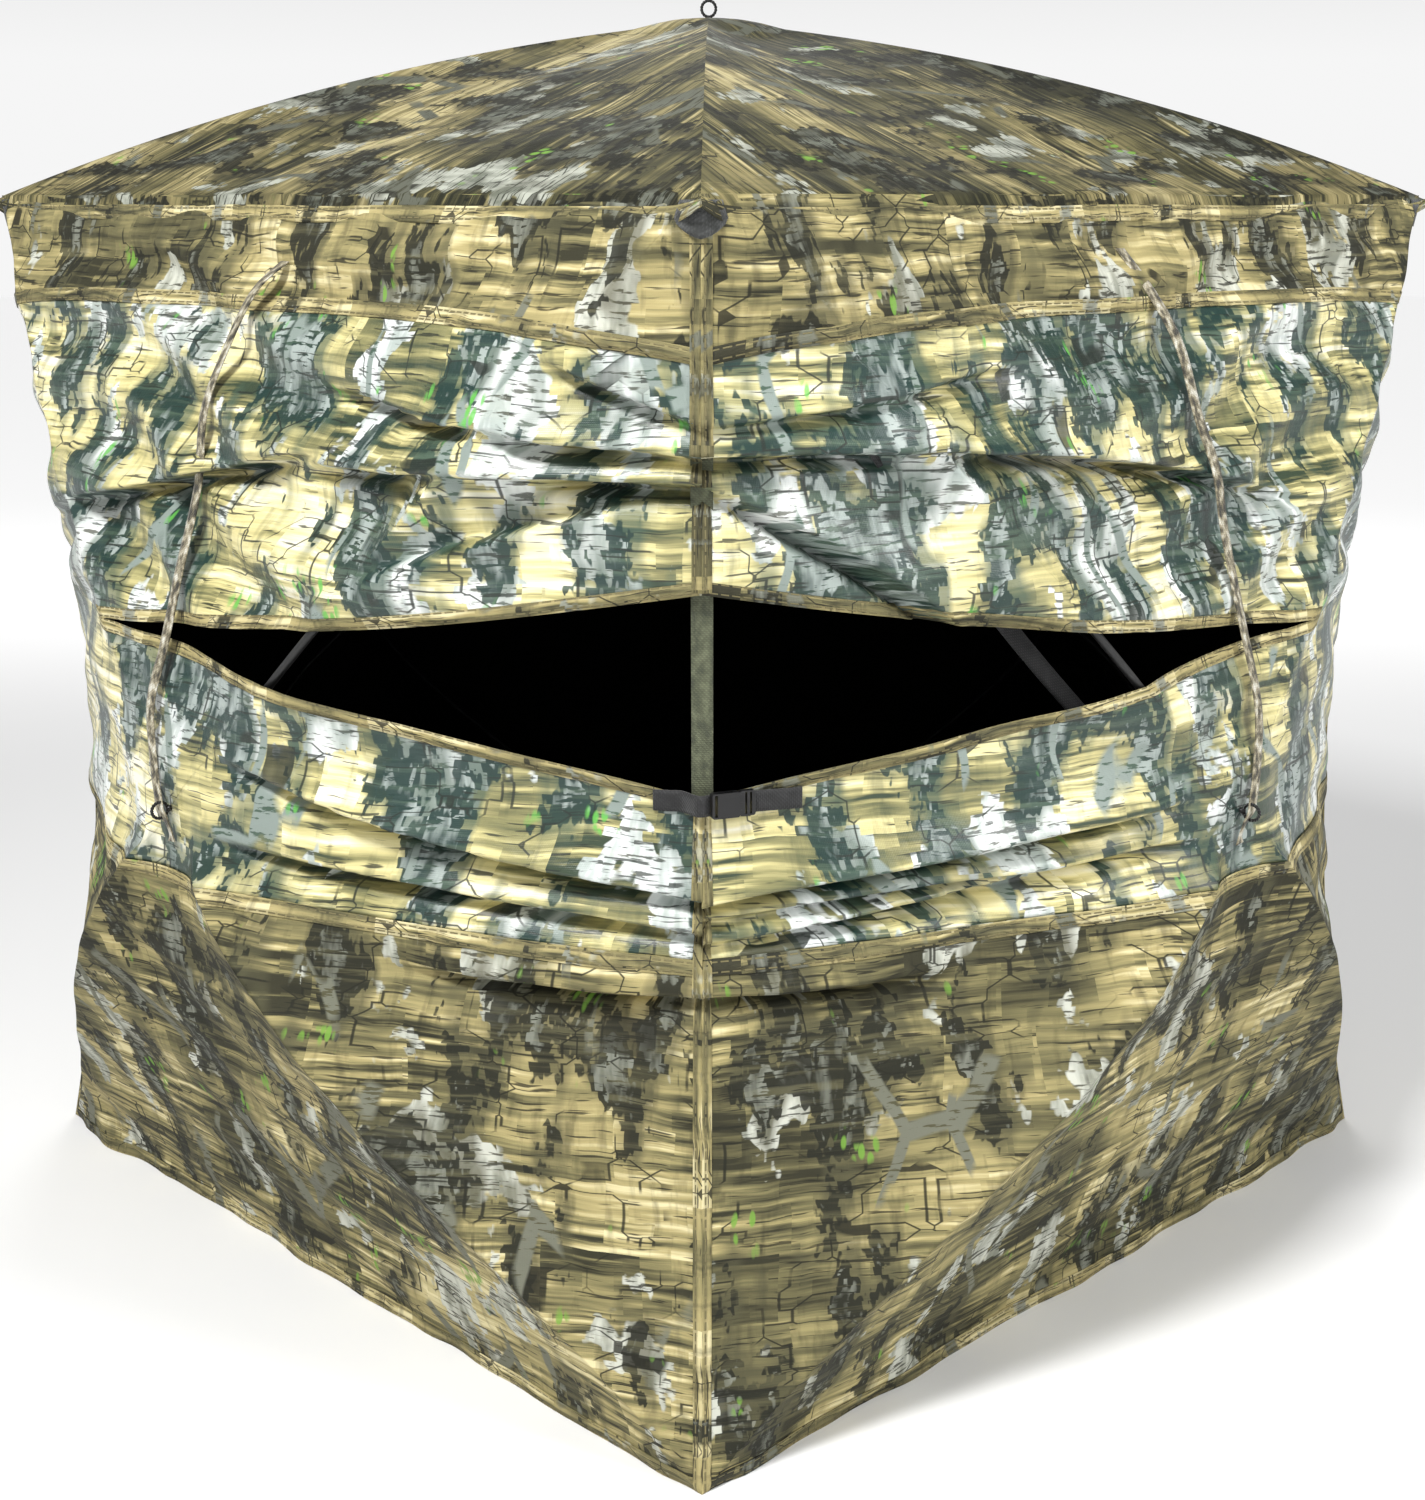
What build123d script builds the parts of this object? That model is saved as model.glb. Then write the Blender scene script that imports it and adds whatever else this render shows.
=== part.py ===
from build123d import *
import os
from math import hypot

# Pop up ground blind: five sprung hubs, each with four bowed rods, hold a square tent open.
# Millimetres. The origin is on the ground under the middle of the roof, and +Z is up.
# The front wall faces -Y and the right wall faces +X. The shooting window wraps the corner
# between them. Walls are numbered by quarter turns: 0 front, 1 right, 2 back, 3 left.

os.makedirs("parts", exist_ok=True)

# The tent's outside
half_width = 762.0  # from the middle to a corner edge, at the eave and at the ground
eave_height = 1518.0
apex_height = 1770.0
hub_height = 747.0  # of the four wall hubs' axes
hub_reach = 978.0  # from the middle to a wall's outermost point
corner_pinch = 56.0  # how far a corner edge is drawn in at half height, along each wall
bow_upper = 30.0  # how far each rod's ridge stands out from a straight line
bow_lower = 70.0
bow_roof = 40.0
hub_flat = 45.0  # half the width of the flat spot at a hub
corner_flat = 14.0  # how far from a corner edge the ridges end
ridge_end = 764.0  # the ridges' reach there
cloth = 2.5  # the thickness that stands in for the fabric
levels_per_half = 6  # cloth sections between a hub's height and the eave or the ground

# Seams and openings in the cloth
valance_depth = 33.0  # of the roof's edge, which hangs over the wall's top
band_seam = 1375.0  # between the upper band and the window panel
lower_seam = 655.0  # between the window panel and the lower wall
window_end = (-250.0, 962.0)  # where the window narrows to nothing, beyond the hub
window_top = ((225.0, 1008.0), (800.0, 1096.0))  # two more points of its upper edge
window_sill = ((330.0, 916.0), (800.0, 832.0))  # and of its lower edge
hub_hole_radius = 40.0
door_bottom = 70.0
door_top = 640.0
door_half_bottom = 510.0
door_half_top = 75.0
door_corner = 50.0
zip_width = 16.0

# Hubs, pins, rods and pull loops
hub_cover_radius = 38.0
hub_body_radius = 30.0
hub_cover_depth = (1.0, 7.0)  # below the cloth's outermost point
hub_body_depth = 37.0
pivot_depth = 24.0
pivot_radius = 22.0  # from the hub's axis to a rod's pin
slot_width = 13.0
slot_start = 13.5
pin_radius = 2.5
pin_play = 0.09
pin_length = 22.0
rod_radius = 5.5
rod_inset = 17.0  # from the ridge's outside to the rod's middle
tip_inset = 26.0
tip_share = 0.93  # how far along the ridge the rod's tip reaches
eye_radius = 6.5
eye_length = 12.0
ring_radius = 11.5
wire_radius = 1.7
neck_radius = 3.4
neck_length = 8.0

# Webbing and hardware
strap_width = 18.0
web_width = 25.0
web = 1.6
buckle_height = 841.0
buckle_travel = 24.0
buckle_gap = 0.5
zip_travel = 900.0
stake_radius = 5.0


def finish(piece, name):
    piece.part.label = name
    export_step(piece.part, f"parts/{name}.step")
    print(name, len(piece.part.solids()), round(piece.part.volume))


def corner(z):
    # A corner edge's distance from the middle, along each wall, at height z.
    share = z / eave_height
    return half_width - corner_pinch * 4 * share * (1 - share)


def ridge(z):
    # A wall's two rod ridges at height z: half their spacing, and their reach from the middle.
    if z >= hub_height:
        share = (z - hub_height) / (eave_height - hub_height)
        bow = bow_upper
    else:
        share = (hub_height - z) / hub_height
        bow = bow_lower
    spread = hub_flat + (half_width - corner_flat - hub_flat) * share
    reach = ridge_end + (hub_reach - ridge_end) * (1 - share) + bow * 4 * share * (1 - share)
    return spread, reach


def roof_z(share):
    # The roof ridge's height, from the apex at 0 to the eave at 1.
    drop = (apex_height - eave_height) * share
    return apex_height - drop + bow_roof * 4 * share * (1 - share)


def turned(x, y, quarter):
    # A point beside the front wall, carried round to another wall.
    for _ in range(quarter):
        x, y = -y, x
    return x, y


def wall_point(quarter, x, reach, z):
    # x runs along the wall, to the right as seen from outside.
    return Vector(*turned(x, -reach, quarter), z)


def wall_plane(quarter, distance=0):
    # x runs along the wall, y is up, and z faces out.
    along = Vector(*turned(1, 0, quarter), 0)
    out = Vector(*turned(0, -1, quarter), 0)
    return Plane(origin=out * distance, x_dir=along, z_dir=out)


def profile_plane(quarter):
    # Across the wall at its middle: x is the reach from the middle, and y is up.
    out = Vector(*turned(0, -1, quarter), 0)
    return Plane(origin=(0, 0, 0), x_dir=out, z_dir=out.cross(Vector(0, 0, 1)))


def levels(low, high):
    steps = range(levels_per_half + 1)
    lower = [hub_height * k / levels_per_half for k in steps]
    upper = [hub_height + (eave_height - hub_height) * k / levels_per_half for k in steps]
    between = {z for z in lower + upper if low + 5 < z < high - 5}
    return [low, *sorted(between), high]


def wall_outline(quarter, z):
    # The cloth's section at height z: its outside from corner to corner, and its inside back.
    edge = corner(z)
    spread, reach = ridge(z)
    outside = [(-edge, -edge), (-spread, -reach), (spread, -reach), (edge, -edge)]
    edge -= cloth
    reach -= cloth
    inside = [(edge, -edge), (spread, -reach), (-spread, -reach), (-edge, -edge)]
    return [turned(x, y, quarter) for x, y in outside + inside]


def wall_cloth(name, quarter, low, high, cutters=(), keep=None):
    with BuildPart() as piece:
        for z in levels(low, high):
            with BuildSketch(Plane.XY.offset(z)):
                with BuildLine():
                    Polyline(*wall_outline(quarter, z), close=True)
                make_face()
        loft(ruled=True)
        for cutter in cutters:
            add(cutter, mode=Mode.SUBTRACT)
        if keep is not None:
            add(keep, mode=Mode.INTERSECT)
    finish(piece, name)


def window_cutter(quarter, side, above):
    # Everything above the window's lower edge, or below its upper edge. side is the x
    # direction of the window's corner. Past the window's end, the two panels share a seam.
    edge = window_sill if above else window_top
    far = 1300 if above else 500
    end = Vector(side * window_end[0], window_end[1])
    middle, last = [(side * x, z) for x, z in edge]
    with BuildPart() as cutter:
        with BuildSketch(wall_plane(quarter)):
            with BuildLine():
                Line((-side * 900, end.Y), end)
                ThreePointArc(end, middle, last)
                Polyline(last, (last[0], far), (-side * 900, far), (-side * 900, end.Y))
            make_face()
        extrude(amount=1200)
    return cutter.part


def hub_hole(quarter):
    with BuildPart() as cutter:
        with BuildSketch(wall_plane(quarter, half_width)):
            with Locations((0, hub_height)):
                Circle(hub_hole_radius)
        extrude(amount=half_width)
    return cutter.part


def door_prism(grow):
    # The back wall's door: a tapering panel below the hub, larger all round by grow.
    with BuildPart() as prism:
        with BuildSketch(wall_plane(2, half_width / 2)):
            with BuildLine():
                bottom, top = door_bottom, door_top
                wide, narrow = door_half_bottom, door_half_top
                Polyline((-wide, bottom), (wide, bottom), (narrow, top), (-narrow, top), close=True)
            door = make_face()
            fillet(door.vertices(), door_corner)
            offset(amount=grow, mode=Mode.REPLACE)
        extrude(amount=half_width)
    return prism.part


# The four walls' cloth
wall_top = eave_height - valance_depth - 1
for wall, quarter, side in (("front", 0, 1), ("right", 1, -1)):
    wall_cloth(f"{wall}_upper_band", quarter, band_seam, wall_top)
    under = window_cutter(quarter, side, above=False)
    wall_cloth(f"{wall}_upper_panel", quarter, 900, band_seam, [under])
    over = window_cutter(quarter, side, above=True)
    wall_cloth(f"{wall}_lower_panel", quarter, lower_seam, 1000, [over, hub_hole(quarter)])
    wall_cloth(f"{wall}_lower_wall", quarter, 0, lower_seam)
wall_cloth("left_wall", 3, 0, wall_top, [hub_hole(3)])
wall_cloth("back_wall", 2, 0, wall_top, [hub_hole(2), door_prism(zip_width)])
wall_cloth("door_panel", 2, 5, 700, keep=door_prism(0))

# The door's zip: a strip round the door, between it and the back wall
with BuildPart() as door_zip:
    for z in levels(5, 700):
        with BuildSketch(Plane.XY.offset(z)):
            with BuildLine():
                Polyline(*wall_outline(2, z), close=True)
            make_face()
    loft(ruled=True)
    add(door_prism(zip_width - 0.3), mode=Mode.INTERSECT)
    add(door_prism(0.3), mode=Mode.SUBTRACT)
finish(door_zip, "door_zip")

# The zip's slider runs along the door's bottom edge, where the cloth is straight. It lies
# flat on the cloth, which leans out between the ground and the first section above it.
zip_z = door_bottom - zip_width / 2
first_level = hub_height / levels_per_half
lean = (ridge(first_level)[1] - ridge(0)[1]) / first_level
zip_face = wall_plane(2)
zip_out = (zip_face.z_dir - Vector(0, 0, lean)).normalized()
zip_start = wall_point(2, -zip_travel / 2, ridge(0)[1] + lean * zip_z, zip_z)
zip_face = Plane(zip_start + zip_out * 0.8, x_dir=zip_face.x_dir, z_dir=zip_out)
slider_deep = 5.0
pull_deep = 2.2
with BuildPart() as zip_slider:
    with BuildSketch(zip_face):
        RectangleRounded(16, 13, 3)
    extrude(amount=slider_deep)
    with BuildSketch(zip_face.offset(slider_deep)):
        with Locations((22, 0)):
            RectangleRounded(46, 8, 3)
        with Locations((38, 0)):
            Circle(2, mode=Mode.SUBTRACT)
    extrude(amount=pull_deep)
finish(zip_slider, "zip_slider")

# The roof: four gores with a short valance, open at the apex for the hub's cover
slant = cloth * 3  # the cloth's thickness measured level, on a shallow slope
seam_gap = 0.15
first_share = (hub_hole_radius + slant) / half_width
roof_shares = [first_share] + [k / levels_per_half for k in range(1, levels_per_half + 1)]
with BuildPart() as roof_canopy:
    for quarter in range(4):
        rings = [(half_width * share, roof_z(share), slant) for share in roof_shares]
        rings += [(half_width, eave_height - valance_depth, cloth)]
        for edge, z, thick in rings:
            inner = edge - thick
            wide, narrow = edge - seam_gap, inner - seam_gap
            outline = [(-wide, -edge), (wide, -edge), (narrow, -inner), (-narrow, -inner)]
            with BuildSketch(Plane.XY.offset(z)):
                with BuildLine():
                    Polyline(*[turned(x, y, quarter) for x, y in outline], close=True)
                make_face()
        loft(ruled=True)
finish(roof_canopy, "roof_canopy")


def corner_frame(z):
    # Beside the front wall at its right corner: the corner, the way along the wall from it,
    # and the way out of the wall.
    edge = corner(z)
    spread, reach = ridge(z)
    length = hypot(edge - spread, reach - edge)
    along = ((spread - edge) / length, (edge - reach) / length)
    return edge, along, (-along[1], along[0])


# A reinforcement patch is folded round each top corner, over the rods' pockets
patch_length = 55.0
with BuildPart() as corner_patches:
    for quarter in range(4):
        for z in (wall_top - 46, wall_top - 1):
            edge, along, out = corner_frame(z)
            arm = {}
            for gap in (0.4, 2.6):
                beyond = gap / (out[0] - out[1])
                x = edge + along[0] * patch_length + out[0] * gap
                y = -edge + along[1] * patch_length + out[1] * gap
                arm[gap] = [(x, y), (edge + beyond, -edge - beyond), (-y, -x)]
            outline = arm[2.6] + arm[0.4][::-1]
            with BuildSketch(Plane.XY.offset(z)):
                with BuildLine():
                    Polyline(*[turned(x, y, quarter) for x, y in outline], close=True)
                make_face()
        loft(ruled=True)
finish(corner_patches, "corner_patches")

# A moulded foot sits inside each bottom corner: a plate with a stake eyelet, and two upstands
foot_edge = 751.0
foot_upstand = 3.0
with BuildPart() as corner_feet:
    for quarter in range(4):
        e = foot_edge
        plate = [(e, -e), (e, -e + 64), (e - 16, -e + 80), (e - 80, -e + 16), (e - 64, -e)]
        with BuildSketch():
            with BuildLine():
                Polyline(*[turned(x, y, quarter) for x, y in plate], close=True)
            make_face()
            with Locations(turned(e - 26, -e + 26, quarter)):
                Circle(stake_radius, mode=Mode.SUBTRACT)
        extrude(amount=4)
        i = e - foot_upstand
        upstand = [(e, -e), (e, -e + 52), (i, -e + 52), (i, -i), (e - 52, -i), (e - 52, -e)]
        with BuildSketch():
            with BuildLine():
                Polyline(*[turned(x, y, quarter) for x, y in upstand], close=True)
            make_face()
        extrude(amount=28)
finish(corner_feet, "corner_feet")


def make_hub(name, face, arms):
    # face lies on the cloth at the hub, facing out. An arm is the way to a rod's tip.
    with BuildPart() as hub:
        with BuildSketch(face.offset(-hub_cover_depth[1])):
            Circle(hub_cover_radius)
        extrude(amount=hub_cover_depth[1] - hub_cover_depth[0])
        fillet(hub.faces().sort_by(Axis(face.origin, face.z_dir))[-1].edges(), 2)
        with BuildSketch(face.offset(-hub_body_depth)):
            Circle(hub_body_radius)
        extrude(amount=hub_body_depth - hub_cover_depth[1])
        for arm in arms:
            middle = face.origin + arm * (slot_start + hub_body_radius / 2)
            with BuildSketch(Plane(middle - face.z_dir * hub_body_depth, arm, face.z_dir)):
                Rectangle(hub_body_radius, slot_width)
            extrude(amount=hub_body_depth - hub_cover_depth[1], mode=Mode.SUBTRACT)
            pin_way = face.z_dir.cross(arm)
            pivot = face.origin - face.z_dir * pivot_depth + arm * pivot_radius
            with BuildSketch(Plane(pivot, arm, pin_way)):
                Circle(pin_radius)
            extrude(amount=pin_length / 2, both=True, mode=Mode.SUBTRACT)
    finish(hub, f"hub_{name}")

    with BuildPart() as pins:
        for arm in arms:
            pivot = face.origin - face.z_dir * pivot_depth + arm * pivot_radius
            with BuildSketch(Plane(pivot, arm, face.z_dir.cross(arm))):
                Circle(pin_radius)
            extrude(amount=pin_length / 2, both=True)
    finish(pins, f"hub_pins_{name}")

    # The pull loop's ring stands on a short twisted neck, in the plane of z and y
    ring_middle = face.origin + face.z_dir * (neck_length + ring_radius - 1.5)
    with BuildPart() as pull_loop:
        with BuildSketch(face.offset(-hub_cover_depth[0])):
            Circle(neck_radius)
        extrude(amount=neck_length)
        with BuildSketch(Plane(ring_middle, face.z_dir, face.y_dir)):
            with Locations((ring_radius, 0)):
                Circle(wire_radius)
        revolve(axis=Axis(ring_middle, face.x_dir), revolution_arc=360)
    finish(pull_loop, f"pull_loop_{name}")


def make_rod(name, face, arm, middle, tip):
    pivot = face.origin - face.z_dir * pivot_depth + arm * pivot_radius
    pin_way = face.z_dir.cross(arm)
    eye = Plane(pivot, arm, pin_way)
    with BuildPart() as rod:
        with BuildLine() as path:
            ThreePointArc(pivot, middle, tip)
        with BuildSketch(Plane(pivot, z_dir=path.line % 0)):
            Circle(rod_radius)
        sweep()
        with BuildSketch(eye):
            Circle(eye_radius)
        extrude(amount=eye_length / 2, both=True)
        with BuildSketch(eye):
            Circle(pin_radius + pin_play)
        extrude(amount=eye_length, both=True, mode=Mode.SUBTRACT)
    finish(rod, name)


# Wall hubs. left and right are as seen from outside.
tip_high = hub_height + tip_share * (eave_height - hub_height)
tip_low = hub_height * (1 - tip_share)
for quarter, wall in enumerate(("front", "right", "back", "left")):
    face = wall_plane(quarter)
    face.origin = wall_point(quarter, 0, hub_reach, hub_height)
    arms = []
    for level, tip_z in (("top", tip_high), ("bottom", tip_low)):
        spread, reach = ridge(tip_z)
        for hand, way in (("left", -1), ("right", 1)):
            tip = wall_point(quarter, way * spread, reach - tip_inset, tip_z)
            flat = tip - face.origin
            arm = (flat - face.z_dir * flat.dot(face.z_dir)).normalized()
            middle_z = (hub_height + tip_z) / 2
            middle_reach = ridge(middle_z)[1] - rod_inset
            middle_x = way * (spread + pivot_radius * 0.7) / 2
            middle = wall_point(quarter, middle_x, middle_reach, middle_z)
            arms.append(arm)
            make_rod(f"rod_{wall}_{level}_{hand}", face, arm, middle, tip)
    make_hub(wall, face, arms)

# Roof hub
roof_face = Plane((0, 0, apex_height), x_dir=(1, -1, 0), z_dir=(0, 0, 1))
arms = []
for quarter, name in enumerate(("front_right", "back_right", "back_left", "front_left")):
    x, y = turned(1, -1, quarter)
    arm = Vector(x, y, 0).normalized()
    level = half_width * tip_share
    tip = Vector(x * level, y * level, roof_z(tip_share) - tip_inset)
    middle = Vector(x, y, 0) * (level + pivot_radius * 0.7) / 2
    middle += Vector(0, 0, roof_z(0.5) - rod_inset)
    arms.append(arm)
    make_rod(f"rod_roof_{name}", roof_face, arm, middle, tip)
make_hub("roof", roof_face, arms)

# Window straps hang outside, from the upper bands to the loops of the two hubs
for wall, quarter in (("front", 0), ("right", 1)):
    near = [(ridge(z)[1] + 2.5, z) for z in (1440, 1375, 1250, 1125, 1000, 875, 800)]
    near += [(hub_reach + 4, 787), (hub_reach + 4, hub_height + 17)]
    far = [(x + web, z) for x, z in reversed(near)]
    with BuildPart() as window_strap:
        with BuildSketch(profile_plane(quarter)):
            with BuildLine():
                Polyline(*near, *far, close=True)
            make_face()
        extrude(amount=strap_width / 2, both=True)
    finish(window_strap, f"window_strap_{wall}")

# A web strap runs down inside the window's corner
strap_top = Vector(1, -1, 0) * (corner(1330) - 13) + Vector(0, 0, 1330)
strap_foot = Vector(1, -1, 0) * (corner(860) - 13) + Vector(0, 0, 860)
with BuildPart() as corner_strap:
    with BuildSketch(Plane(strap_foot, x_dir=(1, 1, 0), z_dir=strap_top - strap_foot)):
        Rectangle(web_width, web)
    extrude(amount=(strap_top - strap_foot).length)
finish(corner_strap, "corner_strap")

# A second web strap runs inside the right wall, beside its upper rod
guide_top = wall_point(1, -585, 800, 1290)
guide_foot = wall_point(1, -115, 905, 800)
with BuildPart() as guide_strap:
    guide_way = (guide_top - guide_foot).normalized()
    guide_across = guide_way.cross(Vector(1, 0, 0))
    with BuildSketch(Plane(guide_foot, x_dir=guide_across, z_dir=guide_way)):
        Rectangle(web_width, web)
    extrude(amount=(guide_top - guide_foot).length)
finish(guide_strap, "guide_strap")

# The side-release buckle lies on the window's hem, on the right wall beside the corner.
# In its plane x runs away from the corner, y is up, and z faces out.
edge = corner(buckle_height)
spread, reach = ridge(buckle_height)
hem_way = Vector(reach - edge, edge - spread, 0).normalized()
hem_out = Vector(hem_way.Y, -hem_way.X, 0)
hem_axis = Axis((0, 0, 0), hem_out)
buckle = Plane((edge, -edge, buckle_height), x_dir=hem_way, z_dir=hem_out)
socket_start = 8.0  # along the hem
socket_end = 42.0
pocket_start = 18.0
latch_end = 62.0
buckle_base = 3.0  # out from the cloth
socket_deep = 10.0
socket_tall = 30.0
pocket_deep = 6.0
pocket_tall = 24.0
arm_tall = 4.0


def bar(start, end, tall, deep, base, rise=0.0):
    # One block in the buckle's plane, made apart, to be joined or cut away.
    with BuildPart(mode=Mode.PRIVATE) as block:
        with BuildSketch(buckle.offset(base)):
            with Locations(((start + end) / 2, rise)):
                Rectangle(end - start, tall)
        extrude(amount=deep)
    return block.part


pocket_base = buckle_base + (socket_deep - pocket_deep) / 2
with BuildPart() as buckle_socket:
    add(bar(socket_start, socket_end, socket_tall, socket_deep, buckle_base))
    fillet(buckle_socket.edges().filter_by(hem_axis), 3)
    add(bar(pocket_start, socket_end, pocket_tall, pocket_deep, pocket_base), mode=Mode.SUBTRACT)
    add(bar(24, 35, socket_tall, pocket_deep, pocket_base), mode=Mode.SUBTRACT)
    add(bar(11, 14.5, web_width + 1, socket_deep, buckle_base), mode=Mode.SUBTRACT)
finish(buckle_socket, "buckle_socket")
latch_base = pocket_base + buckle_gap
latch_deep = pocket_deep - 2 * buckle_gap
arm_rise = pocket_tall / 2 - buckle_gap - arm_tall / 2
with BuildPart() as buckle_latch:
    add(bar(socket_end + buckle_gap, latch_end, socket_tall, socket_deep - 3, buckle_base))
    fillet(buckle_latch.edges().filter_by(hem_axis), 3)
    add(bar(pocket_start + 5, socket_end + 4, arm_tall, latch_deep, latch_base, arm_rise))
    add(bar(pocket_start + 5, socket_end + 4, arm_tall, latch_deep, latch_base, -arm_rise))
    add(bar(pocket_start + 8, socket_end + 4, arm_tall, latch_deep, latch_base))
    add(bar(49, 51.5, web_width + 1, socket_deep, buckle_base), mode=Mode.SUBTRACT)
    add(bar(55, 57.5, web_width + 1, socket_deep, buckle_base), mode=Mode.SUBTRACT)
finish(buckle_latch, "buckle_latch")

with BuildPart() as socket_web:
    add(bar(1, socket_start - 0.3, web_width, web, buckle_base + 2))
finish(socket_web, "socket_web")

with BuildPart() as latch_web:
    add(bar(latch_end + 0.3, 118, web_width, web, buckle_base + 2))
    add(bar(108, 118, web_width, web, buckle_base + 2 + web))
finish(latch_web, "latch_web")
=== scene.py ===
import math

import bmesh
import bpy
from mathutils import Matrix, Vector, noise
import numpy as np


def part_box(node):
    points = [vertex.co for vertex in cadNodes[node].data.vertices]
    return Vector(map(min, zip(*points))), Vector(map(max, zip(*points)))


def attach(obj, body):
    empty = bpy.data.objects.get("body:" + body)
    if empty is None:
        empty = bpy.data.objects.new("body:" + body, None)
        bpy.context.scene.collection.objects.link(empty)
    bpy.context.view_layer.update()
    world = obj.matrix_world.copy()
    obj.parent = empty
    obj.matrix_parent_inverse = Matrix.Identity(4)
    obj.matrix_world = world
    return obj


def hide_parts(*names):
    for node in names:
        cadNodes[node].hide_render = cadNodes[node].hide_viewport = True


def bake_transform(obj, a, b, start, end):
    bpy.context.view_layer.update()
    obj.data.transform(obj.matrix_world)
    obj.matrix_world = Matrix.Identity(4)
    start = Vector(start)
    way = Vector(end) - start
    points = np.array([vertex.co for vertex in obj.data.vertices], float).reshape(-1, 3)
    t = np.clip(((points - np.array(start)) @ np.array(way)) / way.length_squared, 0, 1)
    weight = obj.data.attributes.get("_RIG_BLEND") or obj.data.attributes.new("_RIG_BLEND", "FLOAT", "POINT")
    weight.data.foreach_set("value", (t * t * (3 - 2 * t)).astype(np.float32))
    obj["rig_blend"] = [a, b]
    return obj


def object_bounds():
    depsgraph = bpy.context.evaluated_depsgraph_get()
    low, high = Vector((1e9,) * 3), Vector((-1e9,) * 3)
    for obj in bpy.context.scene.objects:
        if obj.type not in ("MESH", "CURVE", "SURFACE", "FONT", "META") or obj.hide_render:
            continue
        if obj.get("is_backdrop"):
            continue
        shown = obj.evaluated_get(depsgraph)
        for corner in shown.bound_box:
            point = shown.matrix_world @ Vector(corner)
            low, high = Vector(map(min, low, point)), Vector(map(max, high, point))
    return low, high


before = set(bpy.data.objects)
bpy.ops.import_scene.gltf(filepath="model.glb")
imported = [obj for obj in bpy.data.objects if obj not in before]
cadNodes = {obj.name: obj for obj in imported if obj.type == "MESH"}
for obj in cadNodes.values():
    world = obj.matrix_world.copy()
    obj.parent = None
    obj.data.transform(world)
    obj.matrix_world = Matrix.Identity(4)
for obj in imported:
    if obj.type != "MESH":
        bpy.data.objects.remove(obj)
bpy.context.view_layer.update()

# Pop up ground blind: five push hubs with bowed rods hold a tent of printed cloth open.
# Metres. The front wall faces -Y and the right wall faces +X, and the window wraps the corner
# between them. A place on a wall is (along, height): along runs to the right as seen from
# outside, and the wall is first drawn flat, then bent over its rods.

# The tent's main sizes, from the frame
roofLow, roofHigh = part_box("roof_canopy")
hubLow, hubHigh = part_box("hub_front")
valance = 0.033
halfWidth = roofHigh.x
eave = roofLow.z + valance
hubHeight = (hubLow.z + hubHigh.z) / 2
hubReach = 0.001 - hubLow.y
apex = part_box("hub_roof")[1].z + 0.001

walls = {
    "front": dict(quarter=0, windowSide=1, mesh=0.0064, seed=3.1),
    "right": dict(quarter=1, windowSide=-1, mesh=0.0064, seed=8.4),
    "back": dict(quarter=2, windowSide=0, mesh=0.014, seed=14.2),
    "left": dict(quarter=3, windowSide=0, mesh=0.014, seed=21.7),
}
wallForm = dict(
    pinch=0.056,  # how far each corner edge is drawn in at the hubs' height
    bowUp=0.032,  # how far the upper rods stand out from a straight line
    bowDown=0.085,
    slack=0.45,  # the share of the bow that the cloth between two rods doesn't follow
    fixedShare=0.915,  # cloth nearer the wall's edge than this stays with the tent
    hubShare=0.05,  # cloth nearer the hub than this stays with the hub
    cloth=0.0012,
)
blendShares = (wallForm["fixedShare"], wallForm["hubShare"])
seams = dict(band=1.378, lower=0.652, slit=0.962, slitStart=-0.25, tape=0.018)


def smooth(value, low, high):
    share = min(max((value - low) / (high - low), 0.0), 1.0)
    return share * share * (3 - 2 * share)


def mix(first, second, share):
    return first + (second - first) * share


def turned(x, y, quarter):
    for turn in range(quarter):
        x, y = -y, x
    return x, y


def ripple(x, y, size, seed):
    # a smooth random value from about -1 to 1, that changes over the given size
    return noise.noise(Vector((x / size, y / size, seed)))


# The cloth's shape


def ridgeBow(share, above):
    if above:
        return wallForm["bowUp"] * 4 * share * (1 - share)
    return wallForm["bowDown"] * 6.75 * share * (1 - share) ** 2


def wallRing(along, height):
    # 0 at the hub and 1 at the wall's edge, sideways and up or down
    tall = eave - hubHeight if height > hubHeight else hubHeight
    return abs(along) / halfWidth, (height - hubHeight) / tall


def wallShape(along, height):
    # how the cloth lies over the rods: its distance along the wall, and its reach from the middle
    side, rise = wallRing(along, height)
    if abs(rise) >= side:
        ring = max(abs(rise), 1e-6)
        across = side / ring
        bow = ridgeBow(ring, rise > 0)
        pull = 0.0
    else:
        ring = side
        across = rise / side
        bow = mix(ridgeBow(ring, False), ridgeBow(ring, True), (across + 1) / 2)
        pull = wallForm["pinch"] * (1 - across ** 2) * ring ** 2
    hollow = (1 - across ** 2) * bow * wallForm["slack"] + pull
    reach = halfWidth + (hubReach - halfWidth) * (1 - ring) + bow - hollow
    nearHub = smooth(math.hypot(along, height - hubHeight), 0.043, 0.12)
    reach = mix(hubReach + 0.0016, reach, nearHub)
    return math.copysign(abs(along) - pull, along), reach


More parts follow.
